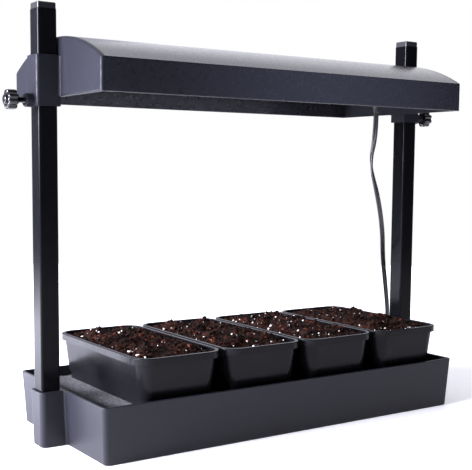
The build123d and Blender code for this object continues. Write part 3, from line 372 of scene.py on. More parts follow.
def pvc_sheath(colour):
    """Extruded PVC lead: satin black, with faint lines along its length from the die."""
    material, tree, shader, _ = new_material("extruded_pvc_sheath", IOR=1.53, Specular_IOR_Level=0.5)
    along = add_node(tree, "ShaderNodeUVMap", uv_map="lead")
    stretched = add_node(tree, "ShaderNodeMapping", {"Vector": along.outputs["UV"], "Scale": (1, 60, 1)})
    lines = add_node(
        tree, "ShaderNodeTexNoise", {"Vector": stretched.outputs["Vector"], "Scale": 30.0, "Detail": 3.0}
    )
    tint = add_node(
        tree, "ShaderNodeValToRGB", {"Fac": lines.outputs["Fac"]}, [(0.3, colour), (0.7, shade(colour, 1.5))]
    )
    gloss = add_node(tree, "ShaderNodeMapRange", {"Value": lines.outputs["Fac"], "To Min": 0.28, "To Max": 0.45})
    drive(shader, Base_Color=tint, Roughness=gloss)
    return material


def loop_strap(colour):
    """Woven nylon hook-and-loop: matt black, with a pile of small loops."""
    material, tree, shader, place = new_material(
        "woven_nylon_loop", Roughness=0.9, Specular_IOR_Level=0.2, Sheen_Weight=0.3, Sheen_Roughness=0.4
    )
    loops = add_node(tree, "ShaderNodeTexVoronoi", {"Vector": place, "Scale": 1 / (0.8 * MM)})
    tint = add_node(
        tree, "ShaderNodeValToRGB", {"Fac": loops.outputs["Distance"]}, [(0.0, shade(colour, 2.0)), (0.6, colour)]
    )
    relief = add_node(tree, "ShaderNodeBump", {"Height": loops.outputs["Distance"], "Distance": 0.4 * MM})
    drive(shader, Base_Color=tint, Normal=relief)
    return material


def paint(material, *nodes):
    """Give CAD nodes a finish."""
    for name in nodes:
        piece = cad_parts[name]
        if not piece.material_slots:
            piece.data.materials.append(material)
        for slot in piece.material_slots:
            slot.material = material


def deselect():
    """Leave edit mode and nothing selected, so that the next operator touches only its own piece."""
    if bpy.context.object and bpy.context.object.mode != "OBJECT":
        bpy.ops.object.mode_set(mode="OBJECT")
    bpy.ops.object.select_all(action="DESELECT")


def start_piece(name, add, stretch=(1, 1, 1), **settings):
    """Add a primitive with bpy.ops, name it and put its place and stretch into its mesh."""
    deselect()
    add(**settings)
    piece = bpy.context.object
    piece.name = piece.data.name = name
    piece.scale = stretch
    bpy.ops.object.transform_apply(location=True, rotation=True, scale=True)
    return piece


def start_block(name, low, high):
    """A cube primitive drawn out between two corners."""
    middle, size = (Vector(low) + Vector(high)) / 2, Vector(high) - Vector(low)
    return start_piece(name, bpy.ops.mesh.primitive_cube_add, size=1, location=middle, stretch=size)


def link_mesh(name, mesh):
    """A piece from a mesh, linked to the scene and made active."""
    deselect()
    piece = bpy.data.objects.new(name, mesh)
    bpy.context.scene.collection.objects.link(piece)
    make_active(piece)
    return piece


def make_active(piece):
    """Select a piece alone."""
    deselect()
    piece.select_set(True)
    bpy.context.view_layer.objects.active = piece


def pick(piece, kind, test):
    """Select the piece's vertices, edges or polygons that pass the test, and go into edit mode."""
    make_active(piece)
    mesh = piece.data
    for group in (mesh.vertices, mesh.edges, mesh.polygons):
        group.foreach_set("select", [False] * len(group))
    bpy.context.tool_settings.mesh_select_mode = [kind == k for k in ("vertices", "edges", "polygons")]
    for item in getattr(mesh, kind):
        item.select = test(item)
    bpy.ops.object.mode_set(mode="EDIT")


def edge_along(piece, edge, axis):
    """Whether an edge runs along one axis."""
    start, end = (piece.data.vertices[i].co for i in edge.vertices)
    return abs((end - start).normalized()[axis]) > ALONG


def apply_modifier(piece, kind, **settings):
    """Add a modifier and apply it."""
    make_active(piece)
    modifier = piece.modifiers.new(kind.lower(), kind)
    for name, value in settings.items():
        setattr(modifier, name, value)
    bpy.ops.object.modifier_apply(modifier=modifier.name)


def finish_piece(piece, material, body, smooth=40):
    """Smooth shading, finish, slot and body of a finished piece."""
    make_active(piece)
    bpy.ops.object.shade_smooth_by_angle(angle=math.radians(smooth))
    deselect()
    piece.data.materials.clear()
    piece.data.materials.append(material)
    if body:
        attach(piece, body)


class GARDEN_OT_base(bpy.types.Operator):
    """Finishes of the tray, its deck and the posts"""

    bl_idname = "garden.base"
    bl_label = "Tray and posts"

    def execute(self, context):
        colours = context.scene.garden_colours
        # ABS from a spark-eroded mould: satin charcoal, with a fine grain that softens reflections
        tray = moulded_plastic("spark_textured_abs", colours.tray, 0.7 * MM, 0.02 * MM, (0.38, 0.48), specular=0.2)
        paint(tray, "base_tray")
        # Polypropylene from a smooth mould: waxy black
        deck = moulded_plastic("moulded_polypropylene", shade(colours.tray, 0.7), 1.2 * MM, 0.02 * MM, (0.4, 0.5))
        paint(deck, "mat_deck")
        # Powder coat on steel tube: near black, with a low orange peel
        post = moulded_plastic("powder_coated_steel", colours.post, 1.6 * MM, 0.008 * MM, (0.16, 0.22), specular=0.06)
        paint(post, "left_post", "right_post")
        # Low-density polyethylene: soft black plugs in the tube ends
        cap = moulded_plastic("moulded_polyethylene", colours.post, 0.9 * MM, 0.02 * MM, (0.38, 0.5))
        paint(cap, "left_post_cap", "right_post_cap")
        return {"FINISHED"}


class GARDEN_OT_hood(bpy.types.Operator):
    """Finishes of the hood, its end caps and thumbscrews"""

    bl_idname = "garden.hood"
    bl_label = "Hood"

    def execute(self, context):
        colours = context.scene.garden_colours
        # ABS from a polished mould: smooth black that mirrors its surroundings softly
        hood = moulded_plastic(
            "polished_mould_abs", colours.tray, 4 * MM, 0.002 * MM, (0.27, 0.30), detail=0.0, specular=0.45
        )
        paint(hood, "hood_shell")
        # The same ABS from a textured mould: its grain scatters the light on the ends
        ends = moulded_plastic(
            "fine_textured_abs",
            colours.tray,
            1.8 * MM,
            0.16 * MM,
            (0.36, 0.5),
            stretch=(1, 1, 0.35),
            specular=0.1,
        )
        paint(ends, *[f"{side}_end_cap" for side in SIDES])
        # Free-cutting brass, turned: warm metal with rings from the tool
        brass = worked_metal("turned_brass", srgb("#b08d4a"), 0.3 * MM, (1, 1, 1), (0.25, 0.4))
        paint(brass, *[f"{side}_insert" for side in SIDES])
        # Phenolic, polished after moulding: deep black with sharp highlights
        knob = moulded_plastic("polished_phenolic", colours.knob, 1.5 * MM, 0.004 * MM, (0.12, 0.2))
        paint(knob, *[f"{side}_knob" for side in SIDES])
        return {"FINISHED"}


class GARDEN_OT_lamp(bpy.types.Operator):
    """Finishes of the lamp and what holds it under the hood"""

    bl_idname = "garden.lamp"
    bl_label = "Lamp"

    def execute(self, context):
        colours = context.scene.garden_colours
        # Bright-rolled aluminium sheet: a soft mirror with lines along the roll
        paint(
            worked_metal("bright_rolled_aluminium", srgb("#d9dadb"), 0.8 * MM, (0.04, 1, 1), (0.16, 0.3)), "reflector"
        )
        # Anodised extrusion: even silver satin
        paint(worked_metal("anodised_aluminium", srgb("#c9cacc"), 0.5 * MM, (0.03, 1, 1), (0.34, 0.46)), "lamp_body")
        # Spring steel strip, zinc plated: bluish grey
        paint(
            worked_metal("zinc_plated_spring_steel", srgb("#a9acb0"), 0.6 * MM, (1, 0.1, 1), (0.25, 0.4)),
            "lamp_clips",
        )
        # Screws, zinc plated: bright with a light haze
        paint(worked_metal("zinc_plated_screw_steel", srgb("#b9bcc0"), 0.4 * MM, (1, 1, 1), (0.2, 0.36)), "clip_screws")
        # Brass pins, nickel plated: pale and smooth
        paint(
            worked_metal("nickel_plated_brass", srgb("#cfc8b8"), 0.4 * MM, (0.2, 1, 1), (0.15, 0.28)),
            "inlet_pins", "plug_blades",
        )
        # Opal polycarbonate: milky white, smooth
        paint(
            moulded_plastic("opal_polycarbonate", srgb("#e6e7e4"), 2.0 * MM, 0.01 * MM, (0.3, 0.42), lift=1.05),
            "lamp_diffuser",
        )
        # Printed circuit board under white solder mask: bright, slightly wavy
        paint(
            moulded_plastic("white_solder_mask", srgb("#ecece8"), 1.5 * MM, 0.02 * MM, (0.3, 0.42), lift=1.03),
            "led_board",
        )
        # Phosphor-filled silicone: matt yellow
        paint(
            moulded_plastic("phosphor_silicone", srgb("#d9c452"), 0.5 * MM, 0.02 * MM, (0.45, 0.6), lift=1.1),
            "led_chips",
        )
        # Green solder mask over glass laminate
        paint(
            moulded_plastic("green_solder_mask", srgb("#17492f"), 0.8 * MM, 0.02 * MM, (0.3, 0.42), lift=1.4),
            "driver_board",
        )
        # Sleeved capacitors and wound parts: dark satin
        paint(
            moulded_plastic("sleeved_component_pvc", srgb("#23252a"), 1.0 * MM, 0.02 * MM, (0.35, 0.5)),
            "driver_parts",
        )
        # PVC wire covering: satin, a little waxy
        paint(moulded_plastic("wire_pvc", srgb("#c8c4bb"), 0.8 * MM, 0.02 * MM, (0.38, 0.5), lift=1.1), "lead_wires")
        # ABS lamp ends, textured like the hood's ends
        paint(
            moulded_plastic("lamp_end_abs", colours.tray, 0.7 * MM, 0.03 * MM, (0.36, 0.48)),
            *[f"{side}_lamp_cap" for side in SIDES],
        )
        # Nylon rocker: smooth black
        paint(moulded_plastic("moulded_nylon", colours.knob, 0.8 * MM, 0.01 * MM, (0.25, 0.36)), "lamp_rocker")
        # PVC moulded over the wires: dull black rubbery skin
        paint(moulded_plastic("overmoulded_pvc", colours.lead, 0.8 * MM, 0.03 * MM, (0.4, 0.55)), "cord_connector")
        return {"FINISHED"}


class GARDEN_OT_pots(bpy.types.Operator):
    """Finishes of the four pots"""

    bl_idname = "garden.pots"
    bl_label = "Pots"

    def execute(self, context):
        colours = context.scene.garden_colours
        # Vacuum-formed polystyrene: thin glossy black, with slow ripples from the stretch of the sheet
        pot = moulded_plastic(
            "vacuum_formed_polystyrene",
            colours.pot,
            12 * MM,
            0.02 * MM,
            (0.22, 0.27),
            flow=30 * MM,
            detail=0.0,
            specular=0.1,
        )
        paint(pot, *[f"pot_{number}" for number in POTS])
        return {"FINISHED"}


class GARDEN_OT_studs(bpy.types.Operator):
    """Threaded studs of the thumbscrews"""

    bl_idname = "garden.studs"
    bl_label = "Studs"

    def execute(self, context):
        sizes = context.scene.garden_sizes
        low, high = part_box("right_stud")
        radius, pitch = (high.z - low.z) / 2, sizes.thread_pitch
        turns = math.ceil((high.x - low.x) / pitch) + 2
        start = low.x - pitch
        mesh = bpy.data.meshes.new("right_stud_thread")
        crest, root = radius, radius - sizes.thread_depth
        mesh.from_pydata(
            [(start, 0, root), (start + pitch / 2, 0, crest), (start + pitch, 0, root)], [(0, 1), (1, 2)], []
        )
        thread = link_mesh("right_stud_thread", mesh)
        apply_modifier(
            thread,
            "SCREW",
            axis="X",
            screw_offset=pitch,
            iterations=turns,
            steps=THREAD_STEPS,
            render_steps=THREAD_STEPS,
            use_merge_vertices=False,
        )
        pick(thread, "vertices", lambda v: True)
        bpy.ops.mesh.remove_doubles(threshold=MERGE_DISTANCE)
        for x, way in ((low.x, -1), (high.x, 1)):
            bpy.ops.mesh.select_all(action="SELECT")
            bpy.ops.mesh.bisect(plane_co=(x, 0, 0), plane_no=(way, 0, 0), use_fill=True, clear_outer=True)
        bpy.ops.mesh.select_all(action="SELECT")
        bpy.ops.mesh.normals_make_consistent(inside=False)
        deselect()
        thread.data.transform(Matrix.Translation((0, 0, (low.z + high.z) / 2)))
        # Blackened steel: dark metal with a dull sheen
        steel = worked_metal("black_oxide_steel", srgb("#2a2a2d"), 0.5 * MM, (1, 1, 1), (0.28, 0.42))
        other = link_mesh("left_stud_thread", thread.data.copy())
        other.data.name = other.name
        other.data.transform(Matrix.Rotation(math.pi, 4, "Z"))
        for side, piece in (("right", thread), ("left", other)):
            finish_piece(piece, steel, f"{side}_thumbscrew", smooth=30)
            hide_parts(f"{side}_stud")
        return {"FINISHED"}


class GARDEN_OT_plug(bpy.types.Operator):
    """Plug with grip hollows and a neck round the lead"""

    bl_idname = "garden.plug"
    bl_label = "Plug"

    def execute(self, context):
        low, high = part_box("plug_body")
        middle = (low + high) / 2
        plug = start_block("plug", low, high)
        pick(plug, "polygons", lambda f: f.normal.x < -FACING)
        bpy.ops.transform.resize(
            value=(1, PLUG_TAPER_SHARE, PLUG_TAPER_SHARE), center_override=(low.x, middle.y, middle.z)
        )
        bpy.ops.mesh.inset(thickness=PLUG_NECK_SET_IN)
        bpy.ops.mesh.extrude_region_move(TRANSFORM_OT_translate={"value": (-PLUG_NECK_LENGTH, 0, 0)})
        pick(plug, "polygons", lambda f: abs(f.normal.z) > FACING and f.center.x > low.x)
        bpy.ops.mesh.inset(thickness=PLUG_GRIP_SET_IN, use_individual=True)
        bpy.ops.mesh.inset(thickness=PLUG_GRIP_SLOPE, depth=-PLUG_GRIP_DEPTH, use_individual=True)
        pick(plug, "edges", lambda e: True)
        bpy.ops.mesh.bevel(offset=PLUG_ROUND, segments=3, affect="EDGES")
        # PVC moulded over the wires: dull black rubbery skin
        lead_colour = context.scene.garden_colours.lead
        skin = moulded_plastic("plug_overmoulded_pvc", lead_colour, 0.8 * MM, 0.03 * MM, (0.4, 0.55))
        finish_piece(plug, skin, "base")
        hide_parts("plug_body")
        return {"FINISHED"}


class GARDEN_OT_strap(bpy.types.Operator):
    """Strap round the coil's turns"""

    bl_idname = "garden.strap"
    bl_label = "Strap"

    def execute(self, context):
        sizes = context.scene.garden_sizes
        low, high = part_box("cord_tie")
        top = COIL_PLACE.z + sizes.coil_layer + sizes.lead_thickness / 2 + STRAP_CLEARANCE + sizes.strap_thickness
        strap = start_block("lead_strap", low, (high.x, high.y, top))
        pick(strap, "edges", lambda e: edge_along(strap, e, 1))
        bpy.ops.mesh.bevel(offset=STRAP_ROUND, segments=4, affect="EDGES")
        pick(strap, "polygons", lambda f: abs(f.normal.y) > FACING)
        bpy.ops.mesh.delete(type="FACE")
        apply_modifier(strap, "SOLIDIFY", thickness=sizes.strap_thickness, offset=-1)
        finish_piece(strap, loop_strap(context.scene.garden_colours.lead), "base")
        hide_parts("cord_tie")
        return {"FINISHED"}


def lead_control_points(sizes):
    """Control points of the lead's spline: its route, the coil's turns in two layers, and the way to the plug."""
    half = COIL_TURNS / 2
    outer = sizes.coil_middle_radius + COIL_TURNS * sizes.coil_step / 4
    points = [Vector(place) for place in LEAD_ROUTE]
    for index in range(round(COIL_TURNS * COIL_TURN_POINTS) + 1):
        turn = index / COIL_TURN_POINTS
        radius = outer - sizes.coil_step * (half - abs(turn - half))
        angle = math.radians(90 + 360 * turn)
        climb = min(max((turn - half) / COIL_CLIMB_TURNS + 0.5, 0), 1)
        rise = sizes.coil_layer * climb * climb * (3 - 2 * climb)
        points.append(COIL_PLACE + Vector((radius * math.cos(angle), radius * math.sin(angle), rise)))
    return points + [Vector(place) for place in LEAD_END]


def spline_line(points):
    """Places along the NURBS spline that has these control points."""
    curve = bpy.data.curves.new("lead_line", "CURVE")
    curve.dimensions, curve.resolution_u = "3D", LEAD_CURVE_STEPS
    spline = curve.splines.new("NURBS")
    spline.points.add(len(points) - 1)
    for point, place in zip(spline.points, points):
        point.co = (*place, 1)
    spline.order_u, spline.use_endpoint_u = 3, True
    line = bpy.data.objects.new("lead_line", curve)
    mesh = bpy.data.meshes.new_from_object(line)
    places = [vertex.co.copy() for vertex in mesh.vertices]
    bpy.data.objects.remove(line)
    bpy.data.curves.remove(curve)
    bpy.data.meshes.remove(mesh)
    return places


def twist_at(height):
    """The lead's turn about its own line at a height, from LEAD_TWIST."""
    for (low, low_turn), (high, high_turn) in zip(LEAD_TWIST, LEAD_TWIST[1:]):
        if height <= high:
            return math.radians(low_turn + (high_turn - low_turn) * (height - low) / (high - low))
    return math.radians(LEAD_TWIST[-1][1])


def lead_axes(line):
    """Width and thickness directions of the flat lead along its line: turned on the way down, flat on the table."""
    last = len(line) - 1
    ways = [(line[min(i + 1, last)] - line[max(i - 1, 0)]).normalized() for i in range(last + 1)]
    carried, width = [], LEAD_FACING
    for way in ways:
        width = (width - way * width.dot(way)).normalized()
        carried.append(width)
    landed = next(i for i, place in enumerate(line) if place.z < LEAD_LEVEL_FROM)
    twisted = max(i for i, place in enumerate(line) if place.z >= LEAD_TWIST[0][0])
    turns = [twist_at(place.z) for place in line[: twisted + 1]]
    previous = turns[-1]
    level = []
    for way, width in zip(ways[landed:], carried[landed:]):
        flat = Vector((-way.y, way.x, 0)).normalized()
        turn = math.atan2(flat.dot(way.cross(width)), flat.dot(width))
        turn += math.pi * round((previous - turn) / math.pi)
        level.append(turn)
        previous = turn
    between = landed - twisted - 1
    for step in range(between):
        share = (step + 1) / (between + 1)
        share = share * share * (3 - 2 * share)
        turns.append(turns[twisted] + (level[0] - turns[twisted]) * share)
    turns += level
    axes = []
    for way, width, turn in zip(ways, carried, turns):
        across = width * math.cos(turn) + way.cross(width) * math.sin(turn)
        axes.append((across, way.cross(across)))
    return axes


def two_core_section(width, thickness):
    """Outline of the flat lead: two round cores side by side with a groove between them."""
    radius, offset = thickness / 2, (width - thickness) / 2
    outline = []
    for side in (1, -1):
        for step in range(CORE_STEPS):
            angle = math.radians(-CORE_ARC / 2 + CORE_ARC * step / (CORE_STEPS - 1))
            outline.append((side * (offset + radius * math.cos(angle)), side * radius * math.sin(angle)))
    return outline


class GARDEN_OT_lead(bpy.types.Operator):
    """Flat two-core lead from the lamp to its coil and plug"""

    bl_idname = "garden.lead"
    bl_label = "Lead"

    def execute(self, context):
        sizes = context.scene.garden_sizes
        line = spline_line(lead_control_points(sizes))
        outline = two_core_section(sizes.lead_width, sizes.lead_thickness)
        count = len(outline)
        shape = bmesh.new()
        uv = shape.loops.layers.uv.new("lead")
        rings, run = [], [0.0]
        for here, there in zip(line, line[1:]):
            run.append(run[-1] + (there - here).length)
        for place, (across, over) in zip(line, lead_axes(line)):
            rings.append([shape.verts.new(place + across * u + over * v) for u, v in outline])
        for index in range(len(rings) - 1):
            for k in range(count):
                corners = [(index, k), (index, (k + 1) % count), (index + 1, (k + 1) % count), (index + 1, k)]
                face = shape.faces.new([rings[i][j] for i, j in corners])
                for loop, (i, _), turn in zip(face.loops, corners, (k, k + 1, k + 1, k)):
                    loop[uv].uv = (run[i], turn / count)
        shape.faces.new(rings[0])
        shape.faces.new(rings[-1])
        bmesh.ops.recalc_face_normals(shape, faces=shape.faces)
        mesh = bpy.data.meshes.new("lamp_lead")
        shape.to_mesh(mesh)
        shape.free()
        lead = link_mesh("lamp_lead", mesh)
        finish_piece(lead, pvc_sheath(context.scene.garden_colours.lead), None, smooth=60)
        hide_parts("cord_drop", "cord_coil")
        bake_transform(lead)
        return {"FINISHED"}


class GARDEN_OT_mat(bpy.types.Operator):
    """Felt watering mat and its wicks"""

    bl_idname = "garden.mat"
    bl_label = "Watering mat"

    def execute(self, context):
        sizes = context.scene.garden_sizes
        felt = needled_felt(context.scene.garden_colours.felt)
        low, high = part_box("capillary_mat")
        size = high - low
        mat = start_piece(
            "felt_mat",
            bpy.ops.mesh.primitive_grid_add,
            x_subdivisions=round(size.x / sizes.felt_cell),
            y_subdivisions=round(size.y / sizes.felt_cell),
            size=1,
            location=((low.x + high.x) / 2, (low.y + high.y) / 2, high.z),
            stretch=(size.x, size.y, 1),
        )
        for vertex in mat.data.vertices:
            lumps = noise.fractal(vertex.co / FELT_LUMP, *LUMP_NOISE, 3)
            vertex.co.z += sizes.felt_rise * (min(lumps, FELT_LUMP_TOP_SHARE) - 1) / 2
        apply_modifier(mat, "SOLIDIFY", thickness=sizes.felt_thickness - sizes.felt_rise, offset=-1)
        finish_piece(mat, felt, "base", smooth=50)
        for number, x in enumerate(WICK_PLACES, start=1):
            wick = start_block(
                f"felt_wick_{number}",
                (x - WICK_HALF_LENGTH, -WICK_HALF_THICKNESS, low.z),
                (x + WICK_HALF_LENGTH, WICK_HALF_THICKNESS, high.z - sizes.felt_thickness),
            )
            pick(wick, "edges", lambda e: edge_along(wick, e, 2))
            bpy.ops.mesh.bevel(offset=WICK_ROUND, segments=3, affect="EDGES")
            finish_piece(wick, felt, "base")
        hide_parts("capillary_mat")
        return {"FINISHED"}


def rounded_corner(u, v, half, corner):
    """Place in a rectangle with round corners of a place in the square-cornered one."""
    over = [abs(u) - (half[0] - corner), abs(v) - (half[1] - corner)]
    if min(over) <= 0:
        return u, v
    a, b = over[0] / corner, over[1] / corner
    x = half[0] - corner + corner * a * math.sqrt(1 - b * b / 2)
    y = half[1] - corner + corner * b * math.sqrt(1 - a * a / 2)
    return math.copysign(x, u), math.copysign(y, v)


class GARDEN_OT_mix(bpy.types.Operator):
    """Potting mix heaped in each pot, with bark crumbs and perlite"""

    bl_idname = "garden.mix"
    bl_label = "Potting mix"

    def execute(self, context):
        sizes, colours = context.scene.garden_sizes, context.scene.garden_colours
        ground = bark_mix("composted_bark", colours.bark, colours.bark_red)
        crumbs = bark_mix("bark_crumb", colours.bark, colours.bark_red, "tint")
        perlite = expanded_perlite(colours.perlite)
        for number in POTS:
            self.fill_pot(number, sizes, ground, crumbs, perlite)
        return {"FINISHED"}

    def fill_pot(self, number, sizes, ground, crumbs, perlite):
        """Heap of one pot, with its crumbs and grains."""
        low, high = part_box(f"potting_mix_{number}")
        middle, half = (low + high) / 2, ((high.x - low.x) / 2, (high.y - low.y) / 2)
        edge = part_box(f"pot_{number}")[1].z - MIX_BELOW_RIM
        lumps = []
        for column in range(LUMP_COLUMNS):
            for row in range(LUMP_ROWS):
                rise = LUMP_RISES[(column * LUMP_ROWS + row + number - 1) % len(LUMP_RISES)]
                x = middle.x + LUMP_PITCH * (column - (LUMP_COLUMNS - 1) / 2)
                lumps.append((x, middle.y + LUMP_PITCH * (row - (LUMP_ROWS - 1) / 2), rise))
        body = f"pot_{number}_filled"
        draw = random.Random(number)

        def surface(x, y):
            """Height of the heap."""
            out = max(abs(x - middle.x) / half[0], abs(y - middle.y) / half[1])
            crown = sizes.mix_crown * (1 - min(out, 1) ** 4)
            here = Vector((x, y, 0.1 * number))
            small = noise.fractal(here / COARSE_LUMP, *LUMP_NOISE, 2)
            small += FINE_LUMP_SHARE * noise.fractal(here / FINE_LUMP, *LUMP_NOISE, 2)
            large = sum(r * math.exp(-((x - u) ** 2 + (y - v) ** 2) / sizes.lump_spread**2) for u, v, r in lumps)
            return edge + crown + (large + sizes.mix_lump * small) * (1 - min(out, 1) ** 8)

        heap = start_piece(
            f"potting_mix_heap_{number}",
            bpy.ops.mesh.primitive_grid_add,
            x_subdivisions=round(2 * half[0] / sizes.mix_cell),
            y_subdivisions=round(2 * half[1] / sizes.mix_cell),
            size=1,
            location=(middle.x, middle.y, edge),
            stretch=(2 * half[0], 2 * half[1], 1),
        )
        for vertex in heap.data.vertices:
            u, v = rounded_corner(vertex.co.x - middle.x, vertex.co.y - middle.y, half, HEAP_CORNER)
            vertex.co.x, vertex.co.y = middle.x + u, middle.y + v
            vertex.co.z = surface(vertex.co.x, vertex.co.y)
        pick(heap, "vertices", lambda v: True)
        bpy.ops.mesh.select_mode(type="EDGE")
        bpy.ops.mesh.select_all(action="DESELECT")
        bpy.ops.mesh.select_non_manifold()
        bpy.ops.mesh.extrude_region_move(TRANSFORM_OT_translate={"value": (0, 0, -HEAP_DEPTH)})
        bpy.ops.transform.resize(value=HEAP_FOOT_SHARES, center_override=(middle.x, middle.y, edge - HEAP_DEPTH))
        bpy.ops.mesh.edge_face_add()
        bpy.ops.mesh.select_all(action="SELECT")
        bpy.ops.mesh.normals_make_consistent(inside=False)
        finish_piece(heap, ground, body, smooth=60)
        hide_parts(f"potting_mix_{number}")
        for name, count, size, material, flat in (
            ("bark_crumbs", sizes.crumb_count, sizes.crumb_size, crumbs, CRUMB_FLATNESS_SHARE),
            ("perlite_grains", sizes.perlite_count, sizes.perlite_size, perlite, PERLITE_FLATNESS_SHARE),
        ):
            shape = bmesh.new()
            tints = []
            for _ in range(count):
                x = middle.x + half[0] * draw.uniform(-GRAIN_SPREAD_SHARES[0], GRAIN_SPREAD_SHARES[0])
                y = middle.y + half[1] * draw.uniform(-GRAIN_SPREAD_SHARES[1], GRAIN_SPREAD_SHARES[1])
                share = draw.lognormvariate(GRAIN_LOG_MEAN, GRAIN_LOG_SPREAD)
                across = size * min(share, LARGEST_GRAIN_SHARE)
                angle = draw.uniform(0, GRAIN_FULL_TURN)
                turn = Matrix.Rotation(angle, 4, Vector((draw.gauss(0, 1), draw.gauss(0, 1), GRAIN_AXIS_RISE)))
                narrow, thin = draw.uniform(*NARROW_GRAIN_SHARES), flat * draw.uniform(*FLAT_GRAIN_SHARES)
                place = Matrix.Translation((x, y, surface(x, y) + across * GRAIN_PROUD_SHARE))
                made = bmesh.ops.create_icosphere(
                    shape,
                    subdivisions=1,
                    radius=across / 2,
                    matrix=place @ turn @ Matrix.Diagonal((1, narrow, thin, 1)),
                )
                tint = draw.betavariate(*RED_BARK_ODDS)
                for vertex in made["verts"]:
                    dents = [draw.uniform(-GRAIN_DENT_SHARE, GRAIN_DENT_SHARE) * across for _ in range(3)]
                    vertex.co += Vector(dents)
                    tints.append(tint)
            mesh = bpy.data.meshes.new(f"{name}_{number}")
            shape.to_mesh(mesh)
            shape.free()
            mesh.attributes.new("tint", "FLOAT", "POINT").data.foreach_set("value", tints)
            piece = link_mesh(f"{name}_{number}", mesh)
            finish_piece(piece, material, body, smooth=25)


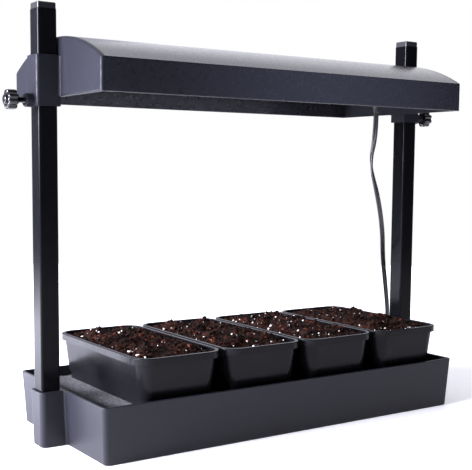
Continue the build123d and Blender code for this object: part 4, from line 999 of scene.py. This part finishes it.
class GARDEN_OT_stage(bpy.types.Operator):
    """Camera, floor and studio light"""

    bl_idname = "garden.stage"
    bl_label = "Stage"

    def execute(self, context):
        stage, scene = context.scene.garden_stage, context.scene
        scene.view_settings.view_transform = "Standard"
        yaw, pitch, roll = stage.camera_yaw, stage.camera_pitch, stage.camera_roll
        ahead = Vector((-math.sin(yaw) * math.cos(pitch), math.cos(yaw) * math.cos(pitch), math.sin(pitch)))
        right = ahead.cross(Vector((0, 0, 1))).normalized()
        up = right.cross(ahead)
        right, up = (
            right * math.cos(roll) + up * math.sin(roll),
            up * math.cos(roll) - right * math.sin(roll),
        )
        camera = bpy.data.objects.new("camera", bpy.data.cameras.new("camera"))
        scene.collection.objects.link(camera)
        camera.matrix_world = Matrix.Translation(stage.camera_place) @ Matrix((right, up, -ahead)).transposed().to_4x4()
        camera.data.lens, camera.data.sensor_width, camera.data.sensor_fit = stage.lens, FILM_WIDTH, "HORIZONTAL"
        camera.data.shift_x, camera.data.shift_y = stage.shift
        scene.camera = camera

        floor = start_piece(
            "floor",
            bpy.ops.mesh.primitive_circle_add,
            vertices=FLOOR_SIDES,
            radius=stage.floor_radius,
            fill_type="NGON",
        )
        # Paper sweep: matt white, with a faint fibre, and a painted glow in its emission that brightens it to pure
        # white toward its edge
        colour = scene.garden_colours.floor
        paper, tree, shader, place = new_material(
            "paper_sweep", Roughness=0.9, Specular_IOR_Level=0.1, Emission_Strength=1.0
        )
        fibre = add_node(tree, "ShaderNodeTexNoise", {"Vector": place, "Scale": 1 / (3 * MM), "Detail": 3.0})
        tint = add_node(
            tree, "ShaderNodeValToRGB", {"Fac": fibre.outputs["Fac"]}, [(0.3, shade(colour, 0.98)), (0.7, colour)]
        )
        # painted glow: the emission colour grows brighter from the floor's middle toward its edge
        outward = add_node(tree, "ShaderNodeVectorMath", {0: place}, operation="LENGTH")
        glow = add_node(
            tree,
            "ShaderNodeValToRGB",
            {"Fac": outward.outputs["Value"]},
            [(distance, shade(colour, share)) for distance, share in FLOOR_GLOW_SHARES],
        )
        drive(shader, Base_Color=tint, Emission_Color=glow)
        floor.data.materials.append(paper)

        for box in SOFT_BOXES:
            self.light(*box)
        self.keep_off("left_box", "hood_shell")
        self.surround(scene)
        return {"FINISHED"}

    def light(self, name, place, target, size, power, colour):
        """A soft box, seen in reflections and not by the camera."""
        lamp = bpy.data.lights.new(name, "AREA")
        lamp.shape, lamp.energy, lamp.color = "RECTANGLE", power, srgb(colour)[:3]
        lamp.size, lamp.size_y = size
        box = bpy.data.objects.new(name, lamp)
        bpy.context.scene.collection.objects.link(box)
        box.location = place
        box.rotation_euler = (Vector(target) - Vector(place)).to_track_quat("-Z", "Y").to_euler()
        box.visible_camera = False

    def keep_off(self, box, node):
        """Like a studio flag: one soft box throws no glare on one piece."""
        flag = bpy.data.collections.new(f"{box}_flag")
        flag.objects.link(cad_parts[node])
        flag.collection_objects[0].light_linking.link_state = "EXCLUDE"
        bpy.data.objects[box].light_linking.receiver_collection = flag

    def surround(self, scene):
        """White to the camera; for reflections bright high behind and dark in front."""
        scene.world = scene.world or bpy.data.worlds.new("studio")
        scene.world.use_nodes = True
        tree = scene.world.node_tree
        tree.nodes.clear()
        way = add_node(tree, "ShaderNodeTexCoord").outputs["Generated"]
        toward = add_node(tree, "ShaderNodeVectorMath", {0: way, 1: SURROUND_WAY}, operation="DOT_PRODUCT")
        share = add_node(
            tree, "ShaderNodeMapRange", {"Value": toward.outputs["Value"], "From Min": -1.0, "From Max": 1.0}
        )
        grade = add_node(
            tree,
            "ShaderNodeValToRGB",
            {"Fac": share.outputs["Result"]},
            [(place, srgb(code)) for place, code in SURROUND_GRADE],
        )
        seen = add_node(tree, "ShaderNodeBackground", {"Color": (1, 1, 1, 1), "Strength": 1.0})
        lit = add_node(tree, "ShaderNodeBackground", {"Color": grade.outputs["Color"], "Strength": SURROUND_STRENGTH})
        rays = add_node(tree, "ShaderNodeLightPath")
        both = add_node(
            tree,
            "ShaderNodeMixShader",
            {0: rays.outputs["Is Camera Ray"], 1: lit.outputs["Background"], 2: seen.outputs["Background"]},
        )
        add_node(tree, "ShaderNodeOutputWorld", {"Surface": both.outputs["Shader"]})


PIECES = (
    GARDEN_OT_base,
    GARDEN_OT_hood,
    GARDEN_OT_lamp,
    GARDEN_OT_pots,
    GARDEN_OT_studs,
    GARDEN_OT_plug,
    GARDEN_OT_strap,
    GARDEN_OT_lead,
    GARDEN_OT_mat,
    GARDEN_OT_mix,
    GARDEN_OT_stage,
)


class GARDEN_PT_pieces(bpy.types.Panel):
    """The garden's pieces"""

    bl_idname = "GARDEN_PT_pieces"
    bl_label = "Grow light garden"
    bl_space_type = "VIEW_3D"
    bl_region_type = "UI"
    bl_category = "Garden"

    def draw(self, context):
        for piece in PIECES:
            self.layout.operator(piece.bl_idname)


GROUPS = {"garden_sizes": GardenSizes, "garden_colours": GardenColours, "garden_stage": GardenStage}


def register():
    """Register the classes and hang the settings on the scene."""
    for kind in (*GROUPS.values(), *PIECES, GARDEN_PT_pieces):
        bpy.utils.register_class(kind)
    for name, group in GROUPS.items():
        setattr(bpy.types.Scene, name, bpy.props.PointerProperty(type=group))


def unregister():
    """Take the settings and classes away again."""
    for name in GROUPS:
        delattr(bpy.types.Scene, name)
    for kind in reversed((*GROUPS.values(), *PIECES, GARDEN_PT_pieces)):
        bpy.utils.unregister_class(kind)


def main():
    """Make every piece in order."""
    register()
    for piece in PIECES:
        group, name = piece.bl_idname.split(".")
        getattr(getattr(bpy.ops, group), name)()


if __name__ == "__main__":
    main()
